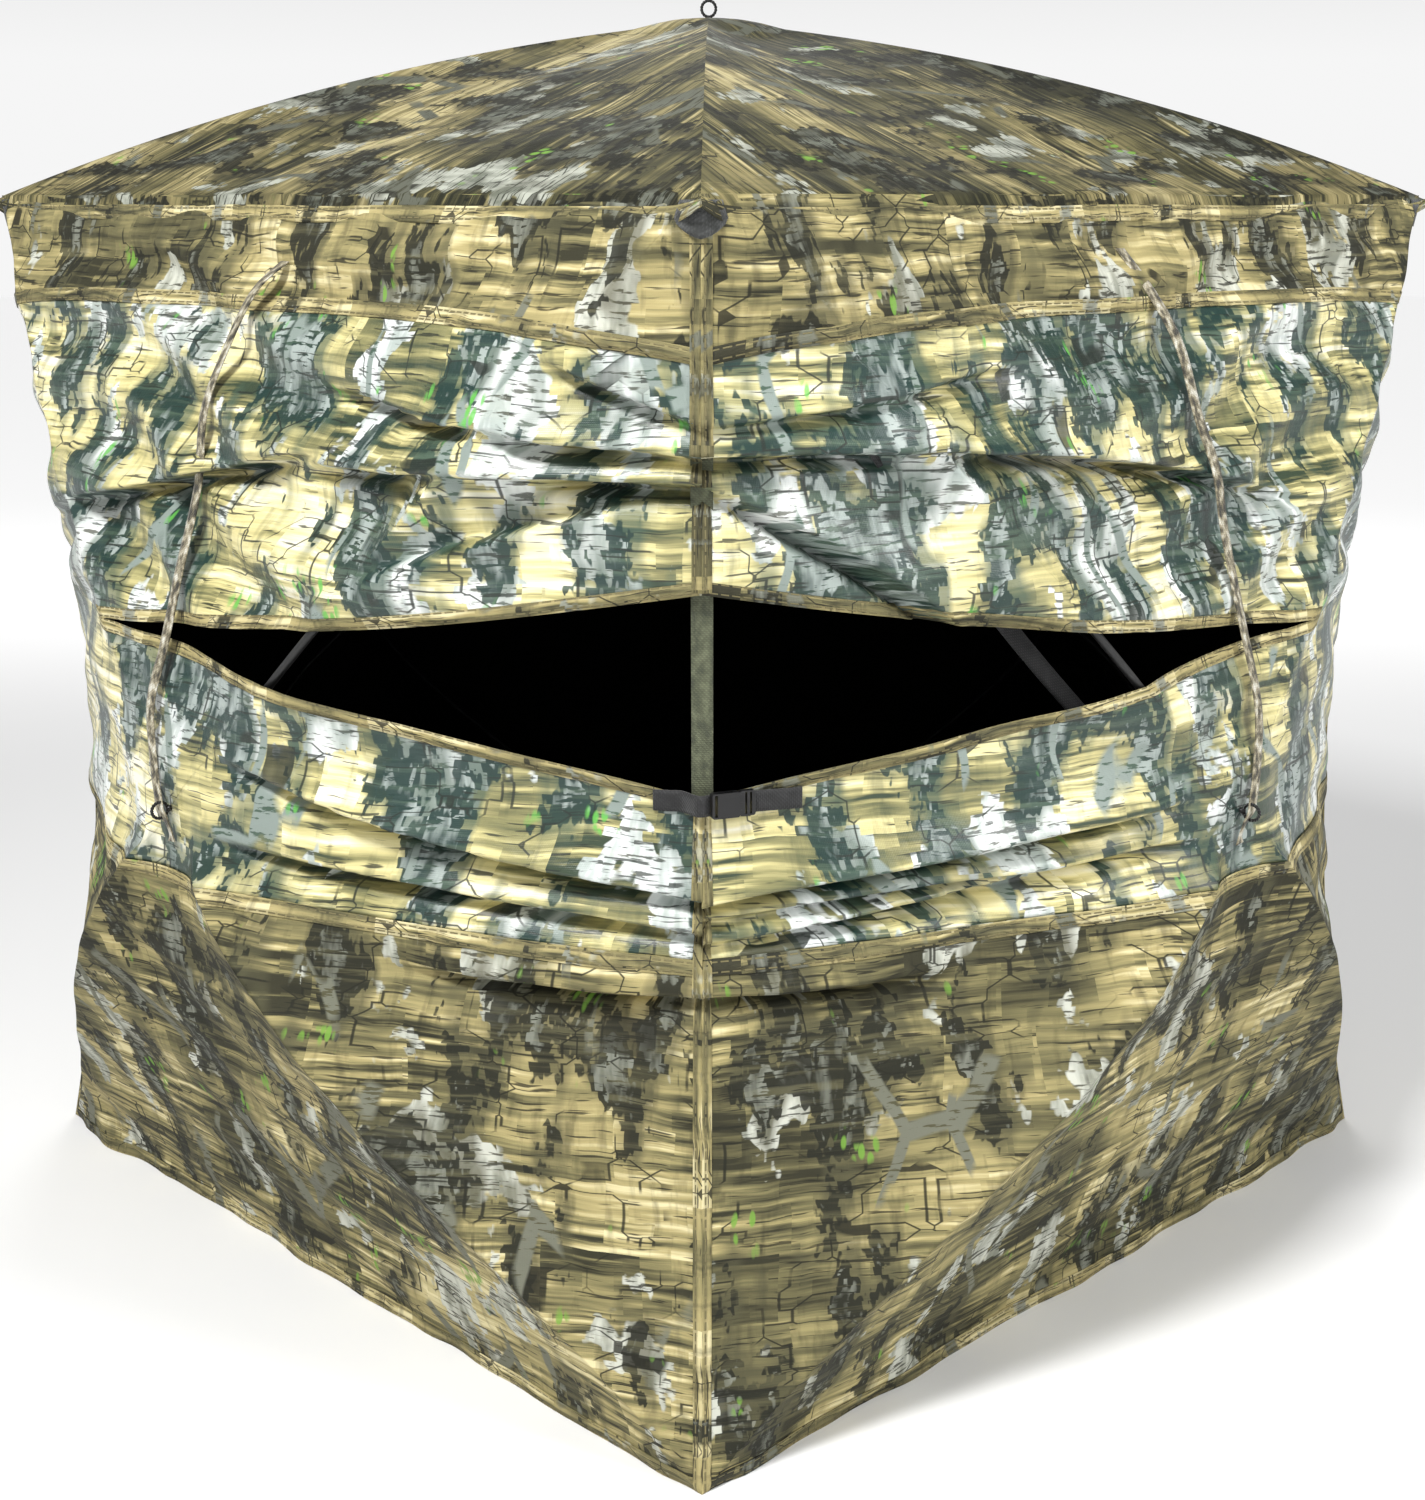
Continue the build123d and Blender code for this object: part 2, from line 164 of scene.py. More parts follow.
# Creases run from the window's corner along each wall. at, rise and bend give the height
# against the distance from the corner edge, near and far say where a crease starts and
# ends, step is how far the roll above overhangs, and width is how tall the roll is.
creases = {
    "front": [
        dict(at=1.274, rise=0.40, bend=0.0, near=0.0, far=0.26, step=0.012, width=0.030),
        dict(at=1.240, rise=0.09, bend=0.0, near=0.0, far=0.62, step=0.030, width=0.036),
        dict(at=1.207, rise=0.02, bend=-0.06, near=0.0, far=0.66, step=0.038, width=0.042),
        dict(at=1.328, rise=-0.199, bend=0.0, near=0.46, far=1.42, step=0.027, width=0.060),
        dict(at=1.200, rise=-0.16, bend=-0.28, near=0.05, far=0.60, step=-0.022, width=0.050),
        dict(at=0.724, rise=0.14, bend=0.03, near=0.0, far=0.74, step=0.031, width=0.036),
        dict(at=0.681, rise=0.09, bend=-0.04, near=0.0, far=0.80, step=0.024, width=0.026),
        dict(at=0.605, rise=-0.01, bend=0.02, near=0.0, far=0.42, step=0.027, width=0.050),
    ],
    "right": [
        dict(at=1.274, rise=0.12, bend=0.0, near=0.0, far=0.50, step=0.012, width=0.026),
        dict(at=1.240, rise=0.03, bend=-0.15, near=0.0, far=1.10, step=0.041, width=0.044),
        dict(at=1.207, rise=-0.40, bend=-0.60, near=0.0, far=0.40, step=0.024, width=0.042),
        dict(at=0.718, rise=0.16, bend=-0.11, near=0.0, far=0.76, step=0.031, width=0.032),
        dict(at=0.698, rise=0.08, bend=-0.06, near=0.0, far=0.80, step=0.019, width=0.022),
        dict(at=0.669, rise=0.08, bend=0.03, near=0.0, far=0.66, step=0.020, width=0.022),
        dict(at=0.605, rise=0.00, bend=0.02, near=0.0, far=0.34, step=0.026, width=0.045),
    ],
    "back": [],
    "left": [],
}
slump = dict(
    bandRoll=0.019, panelRoll=0.018, lowerRoll=0.0075,  # how deep the loose cloth's rolls are
    rollTall=0.135, crumple=0.0042, crumpleSize=0.16, fine=0.0013, fineSize=0.045,
    hemFlare=0.016, hemTall=0.030, ridgeHold=0.75, ridgeWide=0.030,
)


def creaseDepth(wall, fromCorner, height):
    depth = 0.0
    for crease in creases[wall]:
        line = crease["at"] + crease["rise"] * fromCorner + crease["bend"] * fromCorner ** 2
        gap = height - line
        if abs(gap) > 5 * crease["width"]:
            continue
        span = crease["far"] - crease["near"]
        start = mix(0.35, 1.0, smooth(fromCorner, crease["near"], crease["near"] + 0.3 * span))
        if crease["near"] > 0:
            start = smooth(fromCorner, crease["near"], crease["near"] + 0.35 * span)
        finish = 1 - smooth(fromCorner, crease["far"] - 0.5 * span, crease["far"])
        roll = math.tanh(gap / 0.0045) * math.exp(-abs(gap) / crease["width"])
        groove = math.exp(-((gap + 0.007) / 0.0075) ** 2) if crease["step"] > 0 else 0.0
        depth += crease["step"] * start * finish * (roll - 1.1 * groove)
    return depth


def buckleSeat(wall, fromCorner, height):
    # how much of the cloth is drawn flat under the buckle's web
    if not walls[wall]["windowSide"]:
        return 0.0
    return math.exp(-(fromCorner / 0.21) ** 4 - ((height - 0.838) / 0.045) ** 2)


def slumpDepth(wall, along, height):
    # the loose cloth's own rolls, crumples and flared hem
    seed = walls[wall]["seed"]
    upper = smooth(height, 0.93, 1.02)
    deep = mix(slump["lowerRoll"], slump["panelRoll"], upper)
    deep = mix(deep, slump["bandRoll"], smooth(height, 1.34, 1.40))
    phase = 1.6 * ripple(along, height * 0.6, 0.55, seed) + along * 0.9
    swell = 0.45 + 0.8 * abs(ripple(along, height, 0.42, seed + 5))
    depth = deep * swell * math.sin(2 * math.pi * (height / slump["rollTall"] + phase))
    depth += slump["crumple"] * ripple(along * 0.7, height * 1.5, slump["crumpleSize"], seed + 9)
    depth += slump["fine"] * ripple(along, height * 1.4, slump["fineSize"], seed + 12)
    hem = slump["hemFlare"] * math.exp(-height / slump["hemTall"])
    depth += hem * (0.8 + 0.9 * ripple(along, 0.0, 0.11, seed + 15))
    return depth


def wallSpot(wall, along, height, lift=0.0):
    side = walls[wall]["windowSide"] or 1
    x, reach = wallShape(along, height)
    ring, rise = wallRing(along, height)
    ridgeGap = abs(ring - abs(rise)) * halfWidth * 0.7
    ridge = 1 - slump["ridgeHold"] * math.exp(-(ridgeGap / slump["ridgeWide"]) ** 2)
    edge = smooth(halfWidth - abs(along), 0.0, 0.07) * smooth(eave - height, 0.02, 0.09)
    hub = smooth(math.hypot(along, height - hubHeight), 0.05, 0.17)
    fromCorner = halfWidth - side * along
    crease = creaseDepth(wall, fromCorner, height) * mix(1.0, ridge, smooth(fromCorner, 0.0, 0.2)) * hub
    seat = buckleSeat(wall, fromCorner, height)
    crease -= 0.0115 * seat
    calm = mix(0.35, 1.0, smooth(fromCorner, 0.15, 0.6)) * (1 - seat)
    push = slumpDepth(wall, along, height) * edge * ridge * hub * calm + crease
    if ridgeGap < 0.08 and height < eave - 0.03:
        clear = -0.002 - 0.55 * ridgeGap - 0.04 * math.exp(-fromCorner / 0.05)  # the rod is just inside
        push = max(push, clear)
    reach += push + lift
    x += side * crease * math.exp(-fromCorner / 0.05)  # both walls' corner edges stay together
    x += math.copysign(lift * smooth(abs(along), halfWidth - 0.006, halfWidth), along)
    hang = 0.25 * max(crease, 0.0)  # the roll above a crease hangs over it
    return Vector((*turned(x, -reach, walls[wall]["quarter"]), height - hang))


def windowTop(toward):
    # the height of the slit's upper edge; toward runs along the wall to the window's corner
    gap = max(toward - seams["slitStart"], 0.0)
    return seams["slit"] + 0.0714 * gap + 0.0535 * gap ** 2


def windowBottom(toward):
    gap = max(toward - seams["slitStart"], 0.0)
    return seams["slit"] - 0.0244 * gap - 0.0947 * gap ** 2


# Materials


def colour(code, alpha=1.0):
    # an sRGB hex colour as linear values
    parts = [int(code[k:k + 2], 16) / 255 for k in (1, 3, 5)]
    return tuple(p / 12.92 if p <= 0.04045 else ((p + 0.055) / 1.055) ** 2.4 for p in parts) + (alpha,)


def addNode(tree, kind, values=(), stops=(), **settings):
    # values maps a socket to a number, a colour or another node's output
    node = tree.nodes.new("ShaderNode" + kind)
    for name, value in settings.items():
        setattr(node, name, value)
    for name, value in dict(values).items():
        if isinstance(value, bpy.types.NodeSocket):
            tree.links.new(value, node.inputs[name])
        else:
            node.inputs[name].default_value = value
    for number, (place, tone) in enumerate(stops):
        ramp = node.color_ramp.elements
        stop = ramp[number] if number < 2 else ramp.new(place)
        stop.position = place
        stop.color = tone
    return node


def startMaterial(name):
    material = bpy.data.materials.new(name)
    material.use_nodes = True
    tree = material.node_tree
    tree.nodes.clear()
    shader = addNode(tree, "BsdfPrincipled")
    addNode(tree, "OutputMaterial", {"Surface": shader.outputs[0]})
    return material, tree, shader


printSizes = dict(
    grainLong=0.26, grainTall=0.0115,  # bark grain, metres
    plateWide=0.19, plateTall=0.083, chipWide=0.061, chipTall=0.029,
    trunkWide=0.085, trunkTall=0.20,
    barkWide=0.095, barkTall=0.17,
    crack=0.055, crackLine=0.030,
    limb=0.30, leaf=0.010, warp=0.0035, notch=0.011,
)
brownPrint = dict(
    grain=("#333224", "#6a6546", "#8f865c", "#ab9e6e", "#d8cda0"), trunk="#23241c",
    trunkEdge="#4f4d38", bark="#c3c5b9", barkShade="#83867a", crack="#22221a", leaf="#6f9a3e",
    trunkAt=0.548, barkAt=0.590, limbAt=0.020, plates=0.5,
)
# the roof's print: the brown print with darker tones, painted shade for the roof
shadedRoofPrint = dict(
    brownPrint, grain=("#24251b", "#47452f", "#6a6444", "#857b55", "#b3a87d"), bark="#a9aca0",
    barkShade="#6c7065", trunk="#1b1c16", trunkEdge="#39382a",
)
tapePrint = dict(brownPrint, bark="#a7a48c", barkAt=0.64, trunkAt=0.60)
brightPrint = dict(
    grain=("#33402f", "#8a865a", "#c9bf86", "#e2d9a4", "#f1edd6"), trunk="#14302c",
    trunkEdge="#3f5446", bark="#e2e6e4", barkShade="#a9b3ae", crack="#1d251e", leaf="#5fb049",
    trunkAt=0.532, barkAt=0.545, limbAt=0.018, plates=0.42,
)


def woodlandPrint(tree, place, tones, size=1.0):
    # Sublimation print of a wood: plates of bark grain, dark trunks, pale bark, cracks, limbs
    # and leaves. place is in metres on the cloth, and size shrinks the pattern.
    s = printSizes

    def field(source, wide, tall, detail, offset, rough=0.55):
        # smooth noise stretched to a real width and height
        spread = addNode(tree, "Mapping", {"Vector": source, "Location": (offset, offset * 0.7, offset * 0.3),
                                           "Scale": (1 / (wide * size), 1 / (tall * size), 1)})
        return addNode(tree, "TexNoise", {"Vector": spread.outputs[0], "Scale": 1.0, "Detail": detail,
                                          "Roughness": rough}).outputs[0]

    def cutOut(pattern, start, end, low=0.0, high=1.0, within=None):
        # turns a pattern into a stencil, and keeps it inside another stencil if one is given
        stencil = addNode(tree, "MapRange", {"Value": pattern, "From Min": start, "From Max": end,
                                             "To Min": low, "To Max": high}).outputs[0]
        if within is None:
            return stencil
        return addNode(tree, "Math", {0: stencil, 1: within}, operation="MULTIPLY").outputs[0]

    def ink(base, tone, stencil):
        # one screen of the print: a tone, by name or as made, over what is there
        tone = colour(tones[tone]) if isinstance(tone, str) else tone
        return addNode(tree, "MixRGB", {"Color1": base, "Color2": tone, "Fac": stencil}).outputs[0]

    wander = addNode(tree, "TexNoise", {"Vector": place, "Scale": 9.0 / size, "Detail": 2.0}).outputs["Color"]
    centred = addNode(tree, "VectorMath", {0: wander, 1: (0.5, 0.5, 0.5)}, operation="SUBTRACT").outputs[0]
    push = 5 * s["warp"] * size
    shift = addNode(tree, "VectorMath", {0: centred, "Scale": push}, operation="SCALE").outputs[0]
    bent = addNode(tree, "VectorMath", {0: place, 1: shift}, operation="ADD").outputs[0]

    # rows and columns are pushed by random steps, which notches every edge
    axes = addNode(tree, "SeparateXYZ", {0: bent})
    notched = []
    for across, along, step, reach in ((1, 0, 1.0, 1.5), (0, 1, 2.3, 1.2)):
        band = addNode(tree, "Math", {0: axes.outputs[across], 1: step * s["notch"] * size}, operation="SNAP")
        jog = addNode(tree, "TexWhiteNoise", {"W": band.outputs[0]}, noise_dimensions="1D").outputs[0]
        values = {0: jog, 1: reach * s["notch"] * size, 2: axes.outputs[along]}
        notched.append(addNode(tree, "Math", values, operation="MULTIPLY_ADD").outputs[0])
    notched = addNode(tree, "CombineXYZ", {0: notched[0], 1: notched[1]}).outputs[0]

    # plates and chips, each with a random value of its own, like a broken wall
    plates = []
    for wide, tall, offset in ((s["plateWide"], s["plateTall"], 0.37), (s["chipWide"], s["chipTall"], 0.61)):
        plates.append(addNode(tree, "TexBrick", {
            "Vector": bent, "Color1": (0, 0, 0, 1), "Color2": (1, 1, 1, 1), "Scale": 1.0,
            "Mortar Size": 0.0, "Brick Width": wide * size, "Row Height": tall * size,
        }, offset=offset, squash=0.63, squash_frequency=3).outputs["Color"])
    chipDepth = addNode(tree, "Math", {0: plates[1], 1: 0.35}, operation="MULTIPLY").outputs[0]
    depth = addNode(tree, "Math", {0: plates[0], 1: 1.7, 2: chipDepth}, operation="MULTIPLY_ADD").outputs[0]
    layered = addNode(tree, "CombineXYZ", {0: axes.outputs[0], 1: axes.outputs[1], 2: depth}).outputs[0]

    # bark grain: each plate has its own shade, and some are nearly plain
    grain = field(layered, s["grainLong"], s["grainTall"], 5.0, 1.3, 0.55)
    rough = cutOut(field(bent, 0.16, 0.10, 2.0, 91.0), 0.42, 0.62, 0.35, 1.25)
    blotch = field(bent, 0.34, 0.24, 2.0, 31.0)
    tint = 0.5
    for pattern, weight in ((grain, rough), (plates[0], 0.13), (plates[1], 0.05), (blotch, 0.55)):
        offMiddle = addNode(tree, "Math", {0: pattern, 1: 0.5}, operation="SUBTRACT").outputs[0]
        tint = addNode(tree, "Math", {0: offMiddle, 1: weight, 2: tint}, operation="MULTIPLY_ADD").outputs[0]
    stops = list(zip((0.36, 0.45, 0.515, 0.58, 0.68), (colour(code) for code in tones["grain"])))
    base = addNode(tree, "ValToRGB", {"Fac": tint}, stops=stops).outputs[0]
    uprights = field(layered, 0.022, 0.10, 3.0, 5.1)
    base = ink(base, colour(tones["grain"][0]), cutOut(uprights, 0.54, 0.70, 0.0, tones["plates"]))

    # pale bark with short dark dashes
    bark = field(notched, s["barkWide"], s["barkTall"], 3.0, 7.7)
    dashes = cutOut(field(layered, 0.032, 0.0055, 3.0, 12.0), 0.56, 0.62, 0.0, 0.85)
    shade = cutOut(field(bent, 0.028, 0.09, 3.0, 17.0), 0.42, 0.60)
    barkTone = ink(ink(colour(tones["bark"]), "barkShade", shade), "crack", dashes)
    base = ink(base, barkTone, cutOut(bark, tones["barkAt"], tones["barkAt"] + 0.012, within=0.94))

    # dark trunks, softer along one edge, with the grain showing through
    start = tones["trunkAt"]
    stand = field(notched, s["trunkWide"], s["trunkTall"], 4.0, 23.0, 0.6)
    soft = field(bent, s["trunkWide"], s["trunkTall"], 2.0, 23.0)
    trunkTone = ink(colour(tones["trunk"]), "trunkEdge", cutOut(grain, 0.50, 0.64))
    base = ink(base, "trunkEdge", cutOut(soft, start - 0.06, start + 0.02, 0.0, 0.75))
    base = ink(base, trunkTone, cutOut(stand, start, start + 0.010, 0.0, 0.93))
    glint = cutOut(stand, start + 0.05, start + 0.06, within=cutOut(dashes, 0.0, 0.5, 0.8, 0.0, within=shade))
    base = ink(base, "barkShade", glint)

    # square cracks and broad dark strokes, where a second field lets them
    fine = 1 / (s["crack"] * size)
    cells = addNode(tree, "Mapping", {"Vector": bent, "Scale": (0.62 * fine, fine, 1)}).outputs[0]
    near, second = [
        addNode(tree, "TexVoronoi", {"Vector": cells, "Scale": 1.0}, feature=feature, distance="CHEBYCHEV")
        for feature in ("F1", "F2")
    ]
    gap = {0: second.outputs["Distance"], 1: near.outputs["Distance"]}
    line = addNode(tree, "Math", gap, operation="SUBTRACT").outputs[0]
    cracked = cutOut(field(bent, 0.10, 0.075, 2.0, 41.0), 0.47, 0.53, 0.0, 0.9)
    base = ink(base, "crack", cutOut(line, s["crackLine"], s["crackLine"] * 0.4, within=cracked))
    base = ink(base, "crack", cutOut(field(layered, 0.075, 0.0048, 2.0, 61.0), 0.615, 0.66, 0.0, 0.85))

    # limbs: a broken net of leaning branches with a pale side
    wide = 1 / (s["limb"] * size)
    values = {"Vector": bent, "Rotation": (0, 0, 0.5), "Scale": (wide, 0.45 * wide, 1)}
    lean = addNode(tree, "Mapping", values)
    net = addNode(tree, "TexVoronoi", {"Vector": lean.outputs[0], "Scale": 2.0}, feature="DISTANCE_TO_EDGE")
    alive = cutOut(field(bent, 0.12, 0.22, 2.0, 53.0), 0.56, 0.59)
    limbTone = ink(colour(tones["trunkEdge"]), "barkShade", cutOut(dashes, 0.1, 0.6, 0.5, 0.0))
    limb = tones["limbAt"]
    base = ink(base, limbTone, cutOut(net.outputs["Distance"], limb * 2.0, limb * 1.4, within=alive))

    # leaves in sparse clusters
    wide = 1 / (s["leaf"] * size)
    values = {"Vector": bent, "Rotation": (0, 0, 0.7), "Scale": (wide, 0.4 * wide, 1)}
    lean = addNode(tree, "Mapping", values)
    leaf = addNode(tree, "TexVoronoi", {"Vector": lean.outputs[0], "Scale": 1.0}).outputs["Distance"]
    cluster = cutOut(field(bent, 0.09, 0.11, 2.0, 67.0), 0.65, 0.69, 0.0, 0.85)
    return ink(base, "leaf", cutOut(leaf, 0.46, 0.32, within=cluster))


def weaveBump(tree, place, thread, strength, creaseSize):
    # Plain weave, and the small crush marks of a tent that is kept folded
    scaled = addNode(tree, "VectorMath", {0: place, "Scale": 1 / thread}, operation="SCALE").outputs[0]
    values = {"Vector": scaled, "Scale": 1.0 / 3.14159}
    warpThread, weftThread = [
        addNode(tree, "TexWave", values, bands_direction=way).outputs["Fac"] for way in ("X", "Y")
    ]
    weave = addNode(tree, "Math", {0: warpThread, 1: weftThread}, operation="MULTIPLY").outputs[0]
    values = {"Vector": place, "Scale": 1 / creaseSize, "Detail": 3.0, "Roughness": 0.6}
    crush = addNode(tree, "TexNoise", values).outputs[0]
    crushed = addNode(tree, "Bump", {"Height": crush, "Strength": 0.55, "Distance": 0.004}).outputs[0]
    values = {"Height": weave, "Strength": strength, "Distance": 0.0006, "Normal": crushed}
    return addNode(tree, "Bump", values).outputs[0]


def printedPolyester(name, tones, roughness, specular):
    material, tree, shader = startMaterial(name)
    place = addNode(tree, "UVMap", uv_map="cloth").outputs[0]
    tone = woodlandPrint(tree, place, tones)
    tree.links.new(tone, shader.inputs["Base Color"])
    # a real thread is 0.3 mm; it is drawn at 2 mm so that it shows
    tree.links.new(weaveBump(tree, place, 0.002, 0.25, 0.03), shader.inputs["Normal"])
    shader.inputs["Roughness"].default_value = roughness
    shader.inputs["Specular IOR Level"].default_value = specular
    return material


def stitchedTape(name, tones, roughness, thread="#6f6849"):
    # Folded binding tape cut from the same print, with a row of stitches near each edge
    material, tree, shader = startMaterial(name)
    place = addNode(tree, "UVMap", uv_map="cloth").outputs[0]
    moved = addNode(tree, "VectorMath", {0: place, 1: (3.3, 1.7, 0)}, operation="ADD").outputs[0]
    tone = woodlandPrint(tree, moved, tones, 0.8)
    split = addNode(tree, "SeparateXYZ", {0: place})
    # stitches are about 3 mm long; they are drawn 5 mm long with a gap of 2 mm
    run = addNode(tree, "Math", {0: split.outputs[0], 1: 0.007}, operation="PINGPONG").outputs[0]
    dash = addNode(tree, "MapRange", {"Value": run, "From Min": 0.0016, "From Max": 0.0022}).outputs[0]
    # how far a point is from the nearer row of stitches
    rowGap = split.outputs[1]
    for away in (seams["tape"] / 2, seams["tape"] / 2 - 0.0035):
        moved = addNode(tree, "Math", {0: rowGap, 1: away}, operation="SUBTRACT").outputs[0]
        rowGap = addNode(tree, "Math", {0: moved}, operation="ABSOLUTE").outputs[0]
    row = addNode(tree, "MapRange", {"Value": rowGap, "From Min": 0.0011, "From Max": 0.0006}).outputs[0]
    groove = addNode(tree, "MapRange", {"Value": rowGap, "From Min": 0.0030, "From Max": 0.0006}).outputs[0]
    stitch = addNode(tree, "Math", {0: dash, 1: row}, operation="MULTIPLY").outputs[0]
    # painted shade: the print is darkened towards the sunken groove beside each row of stitches
    paintedShade = addNode(tree, "Math", {0: groove, 1: 0.3}, operation="MULTIPLY").outputs[0]
    shaded = addNode(tree, "MixRGB", {"Color1": tone, "Color2": colour("#2b2a20"), "Fac": paintedShade}).outputs[0]
    sewn = addNode(tree, "MixRGB", {"Color1": shaded, "Color2": colour(thread), "Fac": stitch}).outputs[0]
    tree.links.new(sewn, shader.inputs["Base Color"])
    high = addNode(tree, "Math", {0: stitch, 1: groove}, operation="SUBTRACT").outputs[0]
    weave = weaveBump(tree, place, 0.002, 0.25, 0.012)
    puckered = addNode(tree, "Bump", {"Height": high, "Strength": 0.7, "Distance": 0.0012, "Normal": weave})
    tree.links.new(puckered.outputs[0], shader.inputs["Normal"])
    shader.inputs["Roughness"].default_value = roughness
    shader.inputs["Specular IOR Level"].default_value = 0.25
    return material


def wovenWebbing(name, tones, roughness=0.7):
    # Nylon webbing: ribs across and a herringbone of threads, drawn at 2.4 mm so that it shows
    material, tree, shader = startMaterial(name)
    place = addNode(tree, "UVMap", uv_map="cloth").outputs[0]
    rib = addNode(tree, "VectorMath", {0: place, "Scale": 1 / 0.0024}, operation="SCALE").outputs[0]
    values = {"Vector": rib, "Scale": 0.32, "Distortion": 0.6, "Detail": 1.0}
    zigzag = addNode(tree, "TexWave", values, bands_direction="DIAGONAL").outputs["Fac"]
    across = addNode(tree, "TexWave", {"Vector": rib, "Scale": 0.32}, bands_direction="X").outputs["Fac"]
    thread = addNode(tree, "Math", {0: zigzag, 1: across}, operation="MULTIPLY").outputs[0]
    patchy = addNode(tree, "Mapping", {"Vector": place, "Scale": (60, 90, 1)})
    dye = addNode(tree, "TexNoise", {"Vector": patchy.outputs[0], "Scale": 1.0, "Detail": 4.0}).outputs[0]
    stops = list(zip((0.36, 0.46, 0.55, 0.66), (colour(code) for code in tones)))
    base = addNode(tree, "ValToRGB", {"Fac": dye}, stops=stops).outputs[0]
    # painted shade: the colour is darkened between the threads, where the weave is sunk
    paintedShade = addNode(tree, "MapRange", {"Value": thread, "To Min": 0.55, "To Max": 0.0}).outputs[0]
    values = {"Color1": base, "Color2": (0.35, 0.35, 0.35, 1), "Fac": paintedShade}
    lit = addNode(tree, "MixRGB", values, blend_type="MULTIPLY").outputs[0]
    tree.links.new(lit, shader.inputs["Base Color"])
    bump = addNode(tree, "Bump", {"Height": thread, "Strength": 0.6, "Distance": 0.0008})
    tree.links.new(bump.outputs[0], shader.inputs["Normal"])
    shader.inputs["Roughness"].default_value = roughness
    shader.inputs["Sheen Weight"].default_value = 0.15
    return material


def mouldedPlastic(name, tone, worn, roughness, grainSize):
    # Fine moulded grain, rubbed paler where the noise says that hands and dust have been
    material, tree, shader = startMaterial(name)
    place = addNode(tree, "TexCoord").outputs["Object"]
    speck = addNode(tree, "TexNoise", {"Vector": place, "Scale": 1 / grainSize, "Detail": 3.0}).outputs[0]
    rub = addNode(tree, "TexNoise", {"Vector": place, "Scale": 45.0, "Detail": 4.0}).outputs[0]
    values = {"Value": rub, "From Min": 0.52, "From Max": 0.75, "To Max": 0.6}
    amount = addNode(tree, "MapRange", values).outputs[0]
    base = addNode(tree, "MixRGB", {"Color1": colour(tone), "Color2": colour(worn), "Fac": amount}).outputs[0]
    tree.links.new(base, shader.inputs["Base Color"])
    values = {"Value": rub, "From Min": 0.3, "From Max": 0.7,
              "To Min": roughness - 0.06, "To Max": roughness + 0.1}
    rough = addNode(tree, "MapRange", values)
    tree.links.new(rough.outputs[0], shader.inputs["Roughness"])
    bump = addNode(tree, "Bump", {"Height": speck, "Strength": 0.35, "Distance": 0.0003})
    tree.links.new(bump.outputs[0], shader.inputs["Normal"])
    return material


def paintedSteel(name, tone, bare, roughness, metallic):
    # Drawn or stamped metal: the finish is scratched through to the metal in fine lines
    material, tree, shader = startMaterial(name)
    place = addNode(tree, "TexCoord").outputs["Object"]
    stretched = addNode(tree, "Mapping", {"Vector": place, "Scale": (900, 220, 220)})
    values = {"Vector": stretched.outputs[0], "Scale": 1.0, "Detail": 3.0}
    scratch = addNode(tree, "TexNoise", values).outputs[0]
    amount = addNode(tree, "MapRange", {"Value": scratch, "From Min": 0.60, "From Max": 0.72}).outputs[0]
    base = addNode(tree, "MixRGB", {"Color1": colour(tone), "Color2": colour(bare), "Fac": amount}).outputs[0]
    tree.links.new(base, shader.inputs["Base Color"])
    bump = addNode(tree, "Bump", {"Height": scratch, "Strength": 0.2, "Distance": 0.0002})
    tree.links.new(bump.outputs[0], shader.inputs["Normal"])
    shader.inputs["Roughness"].default_value = roughness
    shader.inputs["Metallic"].default_value = metallic
    return material


def coatedLining(name):
    # The cloth's back: black light-tight coating, faintly mottled, with the weave showing
    material, tree, shader = startMaterial(name)
    place = addNode(tree, "UVMap", uv_map="cloth").outputs[0]
    mottle = addNode(tree, "TexNoise", {"Vector": place, "Scale": 14.0, "Detail": 4.0}).outputs[0]
    stops = [(0.35, colour("#040404")), (0.7, colour("#0a0a0a"))]
    base = addNode(tree, "ValToRGB", {"Fac": mottle}, stops=stops).outputs[0]
    tree.links.new(base, shader.inputs["Base Color"])
    tree.links.new(weaveBump(tree, place, 0.002, 0.2, 0.03), shader.inputs["Normal"])
    shader.inputs["Roughness"].default_value = 0.85
    shader.inputs["Specular IOR Level"].default_value = 0.2
    return material


